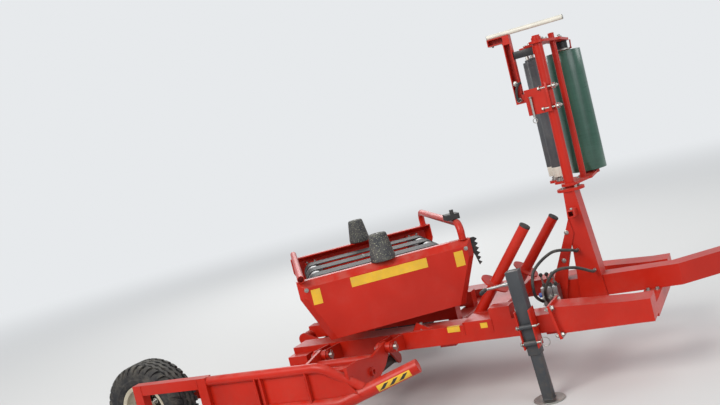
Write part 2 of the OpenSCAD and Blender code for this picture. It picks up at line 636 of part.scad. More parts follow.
module loader_frame() color(RED) in_frame() {
    y0 = side_y - tube_w / 2;
    y1 = side_y + tube_w / 2;
    // Square frame at the rear
    difference() {
        box([frame_x[0], y0, frame_low], [frame_x[1], y1, frame_top]);
        box([frame_x[0] + tube_w, y0 - 1, frame_low + tube_w], [frame_x[1] - tube_w, y1 + 1, frame_top - tube_w]);
    }
    // Bent top rail
    rail_r = top_rail_d / 2;
    high = frame_top - rail_r;
    knee = [150, side_y, high];
    foot = [352, side_y + 38, inner_z + 60];
    difference() {
        union() {
            bent_tube([[frame_x[1], side_y, high], knee, foot], rail_r, 110);
            // Sheet with folded ribs, on the tine
            plate_y(side_y, 8) polygon([[frame_x[1], high], [150, high], [290, 400], [350, 330], [250, inner_z],
                                        [frame_x[1], inner_z]]);
            for (x = [-262, 60]) box([x - 4, side_y - 26, inner_z], [x + 4, side_y + 26, high]);
            box([-230, side_y - 26, inner_z], [-222, side_y + 26, high]);
        }
        inner_tine_shape(tine_d / 2 + seat_gap);
        for (x = arm_x) box([x - arm_t / 2, side_y + 4, 0], [x + arm_t / 2, side_y + 60, 600]);
    }
    // Beam out to the outer tine
    box([frame_x[0], -outer_tine_out + 40, frame_low], [frame_x[0] + 80, y0, frame_low + 80]);
}
module inner_tine() color(RED) in_frame() inner_tine_shape(tine_d / 2);
module outer_tine() color(RED) in_frame() {
    r = outer_tine_r;
    y = -outer_tine_out;
    bend = [300, y, outer_tine_z];
    tip = [700, y, outer_tine_z + 100];
    bent_tube([[frame_x[0], y, outer_tine_z], bend, tip], r, 180);
    // Upright between the beam and the tine
    difference() {
        box([frame_x[0], y - 30, outer_tine_z], [frame_x[0] + 80, y + 40, frame_low + 80]);
        box([frame_x[0] - 1, y + 39.9, 0], [frame_x[0] + 81, y + 41, 1000]);
    }
}

// Mast
brace_w = 80;
column_w = 140;
module mast_base() color(RED) in_frame() difference() {
    union() {
        plate_y(0, column_w) polygon([[mast_front - 70, rail_top], [mast_front + 85, rail_top],
            [mast_front + 32, mast_flange_z], [mast_front - 32, mast_flange_z]]);
        // Side plate and strut that lean back to the cross beam
        plate_y(-column_w / 2 - 3, 10) polygon([[mast_front - 36, 880], [mast_front - 24, 790], [1262, 620],
            [1205, rail_top], [1095, rail_top]]);
        plate_y(-10, brace_w) polygon([[mast_front - 40, 880], [mast_front - 30, 820], [1200, drawbar_top - 30],
            [1130, drawbar_top - 30]]);
        translate([mast_front, 0, mast_flange_z - 2]) cylinder(h = 16, r = 79);
        // Square stub
        box([mast_front - 20, -column_w / 2 - 80, 890], [mast_front + 20, -column_w / 2 + 6, 930]);
    }
    box([frame_front - 121, -drawbar_w / 2, rail_top - 1], [bend_x + 1, drawbar_w / 2, drawbar_top]);
    box([mast_front - 14, -column_w / 2 - 81, 896], [mast_front + 14, -column_w / 2 - 20, 924]);
}
pole_low = mast_flange_z + 14;
module mast_pole() color(RED) in_frame() {
    translate([mast_front, 0, pole_low]) cylinder(h = mast_top - pole_low, d = mast_d);
    translate([mast_front, 0, mast_top - 1]) cylinder(h = 12, d = mast_d - 12);
}
roll = [1390, 465];
tie = [1400, 200];
stretch_a = [1200, 340];
stretch_b = [1258, 215];
plate_t = 15;
low_plate = 1056;
top_plate = 1895;
roller_journal = 12;
module plan() {
    difference() {
        union() {
            strap([mast_front, 0], tie, 90);
            strap(tie, roll, 100);
            strap(tie, stretch_a, 70);
            strap(tie, stretch_b, 70);
        }
        translate([mast_front, 0]) circle(d = mast_d + 2 * joint_gap);
        for (p = [stretch_a, stretch_b]) translate(p) circle(roller_journal + pin_gap);
    }
}
core_r = 38;
roll_low = 1076;
core_out = 6;
roll_high = roll_low + film_w + 2 * core_out;
module dispenser_frame() color(RED) in_frame() {
    for (z = [low_plate, top_plate]) translate([0, 0, z]) linear_extrude(plate_t) plan();
    rod([tie[0], tie[1], low_plate + 1], [tie[0], tie[1], top_plate + 1], 18);
    // Centring hubs of the film roll
    translate([roll[0], roll[1], low_plate + 1]) cylinder(h = roll_low - seat_gap - low_plate - 1, r = 60);
    translate([roll[0], roll[1], low_plate + 2]) cylinder(h = 90, r = core_r - seat_gap);
    translate([roll[0], roll[1], roll_high + seat_gap]) cylinder(h = 10, r = 52);
    translate([roll[0], roll[1], roll_high - 40]) cylinder(h = top_plate - roll_high + 41, r = core_r - seat_gap);
}
module film_roll() color(FILM) in_frame() translate([roll[0], roll[1], roll_low]) rotate_extrude($fn = 96)
    polygon([[core_r, 0], [core_r + 6, 0], [core_r + 6, core_out], [film_d / 2 - 3, core_out],
             [film_d / 2, core_out + 3], [film_d / 2, film_w + core_out - 3], [film_d / 2 - 3, film_w + core_out],
             [core_r + 6, film_w + core_out], [core_r + 6, film_w + 2 * core_out], [core_r, film_w + 2 * core_out]]);
module stretch_roller(place) in_frame() translate([place[0], place[1], 0]) {
    translate([0, 0, low_plate + 44]) cylinder(h = top_plate - low_plate - 120, r = 35);
    translate([0, 0, low_plate + 1]) cylinder(h = top_plate - low_plate + 12, r = roller_journal);
}
module stretch_roller_a() color(GREY) stretch_roller(stretch_a);
module stretch_roller_b() color(GREY) stretch_roller(stretch_b);

// Clamp box on the pole
clamp_z = [1500, 1650];
clamp_x = mast_front - mast_d / 2 - 100;
module mast_clamp() color(RED) in_frame() {
    difference() {
        box([clamp_x, -42, clamp_z[0]], [mast_front, 42, clamp_z[1]]);
        box([clamp_x - 1, -36, clamp_z[0] + 6], [mast_front - mast_d / 2 - 12, 36, clamp_z[1] - 6]);
        translate([mast_front, 0, clamp_z[0] - 1]) cylinder(h = 200, d = mast_d + 2 * joint_gap);
    }
}

// Guide arm: an upright channel beside the pole with a short head
arm_w = 44;
guide_top = 1992;
module guide_arm() color(RED) in_frame() {
    x = clamp_x - 40;
    difference() {
        union() {
            box([x - arm_w / 2, -25, clamp_z[1] - 70], [x + arm_w / 2, 25, guide_top - 6]);
            box([x, -25, clamp_z[1] - 70], [clamp_x - seat_gap / 3, 25, clamp_z[1] - 20]);
            box([x - 110, -25, guide_top - 46], [x + arm_w / 2, 25, guide_top - 6]);
        }
        box([x - arm_w / 2 + 5, -30, clamp_z[1] - 40], [x + arm_w / 2 - 5, 19, guide_top - 60]);
        box([x - 105, -30, guide_top - 41], [x - arm_w / 2 + 5, 19, guide_top - 11]);
    }
    // Black bar between the channel and the pole
    difference() {
        box([x + arm_w / 2, -16, 1840], [mast_front, 16, 1880]);
        translate([mast_front, 0, 1800]) cylinder(h = 120, d = mast_d + 2 * joint_gap);
    }
}
module guide_tube() color(CREAM) in_frame()
    rod([clamp_x - 150, 0, guide_top - 6 + 14], [clamp_x + 300, 0, guide_top - 6 + 14], 14);

// Two leaning posts for spare rolls, with seats and end caps
post_lean = 40;
post_base = [[880, -320, 617], [905, 250, 560]];
post_reach = [(post_base[0][2] - post_beam_top) / cos(post_lean), (post_base[1][2] - post_beam_top) / cos(post_lean)];
module roll_posts() color(RED) in_frame() for (i = [0, 1]) difference() {
    translate(post_base[i]) rotate([0, post_lean, 0]) {
        translate([0, 0, -post_reach[i] - 60]) cylinder(h = post_reach[i] + 60 + post_l, d = post_d);
        cylinder(h = 8, r = 84);
    }
    box([0, -1000, 0], [2000, 1000, post_beam_top]);
}

// Valve block with levers on its plate
module valve_block() color(STEEL) in_frame() {
    box([1080, -200, rail_top], [1200, -column_w / 2 - 12, rail_top + 14]);
    box([1090, -170, rail_top + 14], [1190, -90, rail_top + 120]);
    for (i = [0:2]) {
        x = 1106 + 34 * i;
        rod([x, -130, rail_top + 118], [x, -150, rail_top + 190], 6, 24);
        translate([x, -150, rail_top + 192]) sphere(12, $fn = 24);
        rod([x, -169, rail_top + 60], [x, -200, rail_top + 60], 10, 24);
    }
}

// Hoses: each a tube swept along a curve through hand-set points
hose_r = 9;
hose_sides = 8;
hose_steps = 5;
hose_points = [
    [[1106, -200.8, 460], [1106, -240, 460], [1085, -285, 520], [1100, -250, 640], [1200, -170, 715], [1300, -130, 705],
     [1330, -110, 690], [1330, -70.9, 690]],
    [[1140, -200.8, 460], [1140, -250, 460], [1160, -310, 540], [1230, -300, 630], [1320, -220, 620], [1390, -140, 570],
     [1400, -110, 560], [1400, -70.9, 560]],
    [[1174, -200.8, 460], [1174, -240, 455], [1150, -290, 432], [1100, -322, 418], [1050, -332, 410], [1010, -345, 405],
     [1010, -369.1, 405]]];
function catmull(p, i, t) = let (n = len(p) - 1, a = p[max(i - 1, 0)], b = p[i], c = p[i + 1], d = p[min(i + 2, n)])
    0.5 * (2 * b + (c - a) * t + (2 * a - 5 * b + 4 * c - d) * t * t + (3 * b - a - 3 * c + d) * t * t * t);
function curve(p) = concat([for (i = [0:len(p) - 2], k = [0:hose_steps - 1]) catmull(p, i, k / hose_steps)],
                           [p[len(p) - 1]]);
function ring(p, dir, r) = let (side = unit(cross(dir, abs(dir[2]) < 0.9 ? [0, 0, 1] : [1, 0, 0])), up = cross(side, dir))
    [for (k = [0:hose_sides - 1]) p + r * (cos(360 * k / hose_sides) * side + sin(360 * k / hose_sides) * up)];
module hose(points) {
    path = curve(points);
    n = len(path);
    last = len(points) - 1;
    // Each end lies square to the fitting it meets
    rings = [for (i = [0:n - 1]) let (along = i == 0 ? points[1] - points[0]
        : i == n - 1 ? points[last] - points[last - 1] : path[i + 1] - path[i - 1])
        ring(path[i], unit(along), hose_r)];
    sides = hose_sides;
    polyhedron([for (r = rings) each r],
        concat([[for (k = [0:sides - 1]) k]], [[for (k = [sides - 1:-1:0]) (n - 1) * sides + k]],
               [for (i = [0:n - 2], k = [0:sides - 1])
                   [i * sides + k, (i + 1) * sides + k, (i + 1) * sides + (k + 1) % sides, i * sides + (k + 1) % sides]]));
}
module hydraulic_hoses() color(BLACK) in_frame() for (p = hose_points) hose(p);

main_frame();
wheel_beam();
front_frame();
drawbar();
stub_axles();
loader_brackets();
tyre_right();
rim_right();
tyre_left();
rim_left();
jack_sleeve();
jack_crank();
jack_leg();
tilt_frame();
table_motor();
tilt_barrel();
tilt_rod();
table_base();
end_panel_near();
end_panel_far();
guard_tubes();
film_catcher();
table_belts();
roller_front();
roller_rear();
cone_near();
cone_far();
loader_arms();
loader_frame();
inner_tine();
outer_tine();
lift_barrel();
lift_rod();
mast_base();
mast_pole();
dispenser_frame();
mast_clamp();
guide_arm();
guide_tube();
film_roll();
stretch_roller_a();
stretch_roller_b();
roll_posts();
valve_block();
hydraulic_hoses();
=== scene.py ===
"""Looks of the trailed bale wrapper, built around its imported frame."""
import json
import math
import random

import bmesh
import bpy
from mathutils import Matrix, Vector


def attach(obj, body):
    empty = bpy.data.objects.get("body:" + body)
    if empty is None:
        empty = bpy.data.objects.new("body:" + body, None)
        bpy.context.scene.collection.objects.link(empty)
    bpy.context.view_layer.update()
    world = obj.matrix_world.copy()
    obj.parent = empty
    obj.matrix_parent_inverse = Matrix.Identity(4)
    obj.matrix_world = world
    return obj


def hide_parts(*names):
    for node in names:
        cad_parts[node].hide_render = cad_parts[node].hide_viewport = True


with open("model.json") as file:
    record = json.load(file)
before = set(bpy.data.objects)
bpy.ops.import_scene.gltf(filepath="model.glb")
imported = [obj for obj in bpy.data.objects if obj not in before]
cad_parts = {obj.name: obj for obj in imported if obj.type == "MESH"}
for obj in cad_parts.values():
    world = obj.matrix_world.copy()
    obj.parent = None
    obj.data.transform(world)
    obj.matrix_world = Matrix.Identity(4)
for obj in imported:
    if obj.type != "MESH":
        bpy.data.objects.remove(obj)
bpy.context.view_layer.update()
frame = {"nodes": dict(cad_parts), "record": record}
rng = random.Random(11)

# Places are written in millimetres from the table's axis, X forward and Y left,
# and become metres in the frame's box
SHIFT = Vector((417.5, -546.0, 0.0))
MM = 0.001
TABLE_ANGLE = math.radians(32)
TABLE_TURN = Matrix.Rotation(TABLE_ANGLE, 4, "Z")

# The picture's camera: place in metres, yaw, pitch and roll in degrees, lens in millimetres
CAMERA_PLACE = (2.0489, -4.3744, 1.5723)
CAMERA_TURNS = (116.537, 3.715, 14.025)
CAMERA_LENS = 42.505
FLOOR_RADIUS = 90.0
FLOOR_DROP = 0.0005
BACKDROP = (0.80, 0.82, 0.84, 1)
AMBIENT = (0.93, 0.96, 1.0, 1)
AMBIENT_STRENGTH = 0.62
# Name, place, aim, size in metres, power in watts, tint
LAMPS = (
    ("key", (-2.2, -6.4, 6.2), (0, 0, 0.5), 4.5, 560, (1.0, 0.97, 0.93)),
    ("fill", (6.5, -3.0, 3.5), (0.3, 0, 0.6), 4.0, 130, (0.95, 0.98, 1.0)),
    ("back", (-3.5, 6.5, 5.0), (0, 0, 0.6), 4.5, 260, (1.0, 1.0, 1.0)),
    ("front", (6.5, 4.5, 4.5), (0, 0, 0.6), 3.5, 120, (1.0, 1.0, 1.0)),
)
DUST = (0.33, 0.30, 0.24)
SOIL = (0.13, 0.095, 0.06)
PRIMER = (0.20, 0.17, 0.15)
RUST = (0.19, 0.085, 0.035)
RUBBED = (0.16, 0.15, 0.14)
CRUMBS = (0.30, 0.31, 0.22)
LOOKS = {}  # every material by its name


def stage():
    """The camera of the picture, a pale floor that runs into the backdrop, and soft lamps."""
    scene = bpy.context.scene
    scene.view_settings.view_transform = "Standard"
    cam_data = bpy.data.cameras.new("camera")
    cam_data.lens = CAMERA_LENS
    cam_data.sensor_width = 36.0
    cam_data.clip_end = 200.0
    cam = bpy.data.objects.new("camera", cam_data)
    scene.collection.objects.link(cam)
    scene.camera = cam
    yaw, pitch, roll = (math.radians(a) for a in CAMERA_TURNS)
    ahead = Vector((math.cos(yaw), math.sin(yaw), 0))
    right = Vector((math.sin(yaw), -math.cos(yaw), 0))
    up = Vector((0, 0, 1))
    look = math.cos(pitch) * ahead - math.sin(pitch) * up
    top = math.cos(pitch) * up + math.sin(pitch) * ahead
    axis_x = math.cos(roll) * right - math.sin(roll) * top
    axis_y = math.sin(roll) * right + math.cos(roll) * top
    turn = Matrix((axis_x, axis_y, -look)).transposed().to_4x4()
    cam.matrix_world = Matrix.Translation(CAMERA_PLACE) @ turn

    mesh = bpy.data.meshes.new("floor")
    bm = bmesh.new()
    bmesh.ops.create_circle(bm, cap_ends=True, radius=FLOOR_RADIUS, segments=96)
    bm.to_mesh(mesh)
    bm.free()
    floor = bpy.data.objects.new("floor", mesh)
    scene.collection.objects.link(floor)
    floor.location.z = -FLOOR_DROP
    mesh.materials.append(floor_material())

    world = bpy.data.worlds.new("studio")
    scene.world = world
    world.use_nodes = True
    nodes, links = world.node_tree.nodes, world.node_tree.links
    nodes.clear()
    out = nodes.new("ShaderNodeOutputWorld")
    mix = nodes.new("ShaderNodeMixShader")
    path = nodes.new("ShaderNodeLightPath")
    soft = nodes.new("ShaderNodeBackground")
    soft.inputs["Color"].default_value = AMBIENT
    soft.inputs["Strength"].default_value = AMBIENT_STRENGTH
    seen = nodes.new("ShaderNodeBackground")
    seen.inputs["Color"].default_value = BACKDROP
    links.new(path.outputs["Is Camera Ray"], mix.inputs["Fac"])
    links.new(soft.outputs[0], mix.inputs[1])
    links.new(seen.outputs[0], mix.inputs[2])
    links.new(mix.outputs[0], out.inputs["Surface"])

    for name, place, aim, size, power, tint in LAMPS:
        data = bpy.data.lights.new(name, "AREA")
        data.size = size
        data.energy = power
        data.color = tint
        lamp = bpy.data.objects.new(name, data)
        lamp.location = place
        lamp.rotation_euler = (Vector(aim) - Vector(place)).to_track_quat("-Z", "Y").to_euler()
        scene.collection.objects.link(lamp)


class Nodes:
    """Short ways to lay out one material's nodes."""

    def __init__(self, name):
        self.material = LOOKS[name] = bpy.data.materials.new(name)
        self.material.use_nodes = True
        self.tree = self.material.node_tree
        self.tree.nodes.clear()
        self.output = self.new("OutputMaterial")
        self.shader = self.new("BsdfPrincipled")
        self.put(self.output.inputs["Surface"], self.shader.outputs[0])
        self.object = self.new("TexCoord").outputs["Object"]

    def new(self, kind, inputs=None, **values):
        """A node with its properties, and values or sockets on its inputs."""
        node = self.tree.nodes.new("ShaderNode" + kind)
        for key, value in values.items():
            setattr(node, key, value)
        for key, value in (inputs or {}).items():
            self.put(node.inputs[key], value)
        return node

    def put(self, socket, value):
        if hasattr(value, "is_linked"):
            self.tree.links.new(value, socket)
        else:
            socket.default_value = value

    def math(self, operation, *values, clamp=False):
        node = self.new("Math", operation=operation, use_clamp=clamp)
        for socket, value in zip(node.inputs, values):
            self.put(socket, value)
        return node.outputs[0]

    def times(self, a, b, clamp=False):
        return self.math("MULTIPLY", a, b, clamp=clamp)

    def spread(self, value, share, base):
        """A share of the value on top of a base."""
        return self.math("ADD", self.times(value, share), base)

    def noise(self, scale, detail=4.0, rough=0.55, vector=None):
        return self.new("TexNoise", {"Scale": scale, "Detail": detail, "Roughness": rough,
                                     "Vector": vector or self.object}).outputs["Fac"]

    def stretched(self, x, y, z):
        """Object coordinates drawn out, for streaks."""
        return self.new("Mapping", {"Scale": (x, y, z), "Vector": self.object}).outputs[0]

    def ramp(self, value, low, high):
        """Value, as 0 at low and 1 at high."""
        return self.new("MapRange", {"Value": value, "From Min": low, "From Max": high},
                        interpolation_type="SMOOTHSTEP").outputs[0]

    def mix(self, share, a, b):
        a, b = (c if hasattr(c, "is_linked") else (*c, 1) for c in (a, b))
        return self.new("Mix", {"Factor": share, "A": a, "B": b}, data_type="RGBA").outputs["Result"]

    def mix_value(self, share, a, b):
        return self.new("Mix", {"Factor": share, "A": a, "B": b}, data_type="FLOAT").outputs["Result"]

    def upright(self, socket):
        """The Z part of a vector."""
        return self.new("SeparateXYZ", {0: socket}).outputs["Z"]

    def up(self):
        """1 where the surface faces up, 0 on walls."""
        return self.ramp(self.upright(self.new("NewGeometry").outputs["Normal"]), 0.15, 0.95)

    def edges(self, radius):
        """Rounded normal, and how far it turns from the true one."""
        bevel = self.new("Bevel", {"Radius": radius}, samples=4)
        dot = self.new("VectorMath", {0: bevel.outputs[0], 1: self.new("NewGeometry").outputs["Normal"]},
                       operation="DOT_PRODUCT")
        return bevel.outputs[0], self.ramp(dot.outputs["Value"], 0.985, 0.88)

    def bump(self, value, strength, distance, normal=None):
        node = self.new("Bump", {"Strength": strength, "Distance": distance, "Height": value})
        if normal is not None:
            self.put(node.inputs["Normal"], normal)
        return node.outputs[0]

    def set(self, **values):
        for key, value in values.items():
            self.put(self.shader.inputs[key.replace("_", " ")], value)
        return self.material


def floor_material():
    n = Nodes("floor")
    n.set(Base_Color=(0.62, 0.62, 0.61, 1), Roughness=0.85, Specular_IOR_Level=0.2)
    glow = n.new("Emission", {"Color": BACKDROP})
    far = n.new("VectorMath", {0: n.object}, operation="LENGTH")
    share = n.times(n.ramp(far.outputs["Value"], 4.0, 15.0), n.new("LightPath").outputs["Is Camera Ray"])
    mix = n.new("MixShader", {"Fac": share, 1: n.shader.outputs[0], 2: glow.outputs[0]})
    n.put(n.output.inputs["Surface"], mix.outputs[0])
    return n.material


def dim(color, share):
    """A colour's share of itself, darker below 1."""
    return tuple(c * share for c in color)


def paint(name, color, rough=0.36, dust=0.55, wear=0.5, edge=0.0025, shade=0.82):
    """Sprayed steel: uneven coat, dust and a painted highlight on upper faces, soil near the ground, rubbed
    edges.
    """
    n = Nodes(name)
    rounded, rim = n.edges(edge)
    fine = n.noise(55, 3)
    streak = n.noise(9, 4, vector=n.stretched(1, 1, 0.18))
    base = n.mix(n.ramp(n.noise(2.6, 5), 0.3, 0.7), dim(color, shade), color)
    base = n.mix(n.times(n.ramp(streak, 0.55, 0.8), 0.35), base, dim(color, 0.62))
    # Dust lies on what faces up, in patches; the paler upper faces are also a painted highlight on the tops
    patch = n.ramp(n.noise(13, 6, 0.65), 0.35, 0.72)
    lying = n.times(n.times(n.up(), patch), dust)
    film = n.times(n.ramp(n.noise(5, 6, 0.7), 0.45, 0.8), dust * 0.22)
    pale_share = n.math("MAXIMUM", lying, film)
    low = n.math("SUBTRACT", 1.0, n.ramp(n.upright(n.object), 0.05, 0.55))
    splash = n.times(n.times(low, n.ramp(n.noise(30, 5, 0.7), 0.45, 0.62)), dust)
    # The pale mix on upper faces is dust and a painted highlight; low down it is soil
    base = n.mix(splash, n.mix(pale_share, base, DUST), SOIL)
    # Rubbed edges: the coat thins to primer, then to steel
    chip = n.times(n.times(rim, n.ramp(n.noise(38, 5, 0.7), 0.52, 0.66)), wear)
    base = n.mix(chip, base, PRIMER)
    roughness = n.mix_value(n.math("MAXIMUM", pale_share, splash), n.spread(fine, 0.16, rough - 0.08), 0.85)
    normal = n.bump(n.noise(210, 2), 0.05, 0.0005, n.bump(fine, 0.08, 0.001, rounded))
    return n.set(Base_Color=base, Roughness=roughness, Normal=normal, Coat_Weight=0.05, Coat_Roughness=0.25,
                 Specular_IOR_Level=0.3, Metallic=n.times(chip, 0.7))


def metal(name, color, rough=0.32, grain=(1, 1, 1), rust=0.25, edge=0.0012):
    """Bare or zinc-coated steel with drawn grain and a little rust."""
    n = Nodes(name)
    rounded, _ = n.edges(edge)
    lines = n.noise(90, 4, vector=n.stretched(*grain))
    cloud = n.noise(14, 5)
    base = n.mix(n.ramp(cloud, 0.35, 0.7), dim(color, 0.78), color)
    spot = n.times(n.ramp(n.noise(24, 6, 0.7), 0.56, 0.72), rust)
    base = n.mix(spot, base, RUST)
    base = n.mix(n.times(n.times(n.up(), n.ramp(cloud, 0.4, 0.7)), 0.3), base, DUST)
    roughness = n.mix_value(spot, n.spread(lines, 0.2, rough - 0.1), 0.8)
    return n.set(Base_Color=base, Roughness=roughness, Normal=n.bump(lines, 0.12, 0.0006, rounded),
                 Metallic=n.mix_value(spot, 1.0, 0.1))


def rubber(name, color, rough=0.62, dust=0.5, grit=70, speck=0.0):
    """Black rubber greyed by field dust. Speck sets how many pale crumbs are pressed into it."""
    n = Nodes(name)
    rounded, rim = n.edges(0.002)
    base = n.mix(n.ramp(n.noise(6, 6, 0.65), 0.3, 0.7), color, dim(color, 1.7))
    lying = n.math("ADD", n.times(n.up(), 0.55), n.ramp(n.noise(18, 5, 0.7), 0.4, 0.75))
    pale_share = n.times(lying, dust, clamp=True)
    base = n.mix(n.times(rim, 0.3), n.mix(pale_share, base, dim(DUST, 0.8)), RUBBED)
    if speck:
        base = n.mix(n.times(n.ramp(n.noise(150, 2, 0.4), 0.60, 0.66), speck), base, CRUMBS)
    normal = n.bump(n.noise(grit * 6, 3), 0.2, 0.0006, n.bump(n.noise(grit, 4), 0.16, 0.0015, rounded))
    return n.set(Base_Color=base, Roughness=n.mix_value(pale_share, rough, 0.92), Normal=normal,
                 Specular_IOR_Level=0.35)


def plastic(name, color, rough=0.4, shade=0.85, edge=0.001):
    """Moulded plastic or a printed foil, slightly faded and soiled."""
    n = Nodes(name)
    rounded, rim = n.edges(edge)
    base = n.mix(n.ramp(n.noise(11, 5), 0.3, 0.7), dim(color, shade), color)
    base = n.mix(n.times(n.ramp(n.noise(40, 6, 0.7), 0.5, 0.8), 0.35), base, DUST)
    base = n.mix(n.times(rim, 0.25), base, dim(color, 0.5))
    return n.set(Base_Color=base, Roughness=n.spread(n.noise(60, 3), 0.2, rough - 0.1),
                 Normal=n.bump(n.noise(160, 3), 0.06, 0.0005, rounded))


def stretch_film(name):
    """Wound stretch film: thin bands round the roll, a soft gloss, paler where the layers lie loose."""
    n = Nodes(name)
    bands = n.noise(60, 6, 0.7, vector=n.stretched(0.15, 0.15, 1))
    fine = n.noise(240, 3, 0.6, vector=n.stretched(0.08, 0.08, 1))
    sheen = n.noise(16, 4, 0.6, vector=n.stretched(1, 1, 0.03))
    base = n.mix(n.ramp(sheen, 0.3, 0.7), (0.014, 0.062, 0.040), (0.030, 0.115, 0.076))
    base = n.mix(n.times(n.ramp(bands, 0.4, 0.75), 0.3), base, (0.050, 0.150, 0.105))
    return n.set(Base_Color=base, Roughness=n.spread(bands, 0.2, 0.2), Coat_Weight=0.35, Coat_Roughness=0.2,
                 Normal=n.bump(fine, 0.12, 0.0006, n.bump(bands, 0.10, 0.001)))


RED = paint("red_paint", (0.50, 0.014, 0.003), dust=0.2)
GREY = paint("grey_paint", (0.050, 0.055, 0.062), rough=0.45, dust=0.3)
BLACK = paint("black_paint", (0.022, 0.022, 0.024), rough=0.4, dust=0.5)
RIM = paint("rim_paint", (0.52, 0.48, 0.37), rough=0.42, dust=0.75, wear=0.7)
TYRE = rubber("tyre_rubber", (0.013, 0.0135, 0.015), rough=0.68, dust=0.26, grit=60)
RUBBER = rubber("black_rubber", (0.014, 0.014, 0.015), rough=0.6, dust=0.1)
CONE = rubber("cone_rubber", (0.030, 0.031, 0.034), rough=0.7, dust=0.25, grit=46, speck=0.8)
HOSE = rubber("hose_rubber", (0.014, 0.014, 0.015), rough=0.42, dust=0.25, grit=120)
ROLLER = rubber("roller_sleeve", (0.055, 0.060, 0.066), rough=0.5, dust=0.12, grit=90)
STEEL = metal("steel", (0.36, 0.36, 0.36), rough=0.42, rust=0.35)
ZINC = metal("zinc", (0.44, 0.43, 0.40), rough=0.42, rust=0.15)
metal("rod_chrome", (0.72, 0.72, 0.73), rough=0.18, grain=(6, 1, 6), rust=0.0)
CREAM = plastic("cream_plastic", (0.70, 0.67, 0.58))
STICKER = plastic("yellow_sticker", (0.78, 0.46, 0.025), rough=0.34)
BLUE = plastic("blue_cap", (0.02, 0.09, 0.42))
CARD = plastic("cardboard", (0.36, 0.25, 0.14), rough=0.8)
FILM = stretch_film("green_film")

stage()

for row in frame["record"]["subparts"]:
    node = frame["nodes"][row["node"]]
    node.data.materials.clear()
    node.data.materials.append(LOOKS[row["material_slot"]])


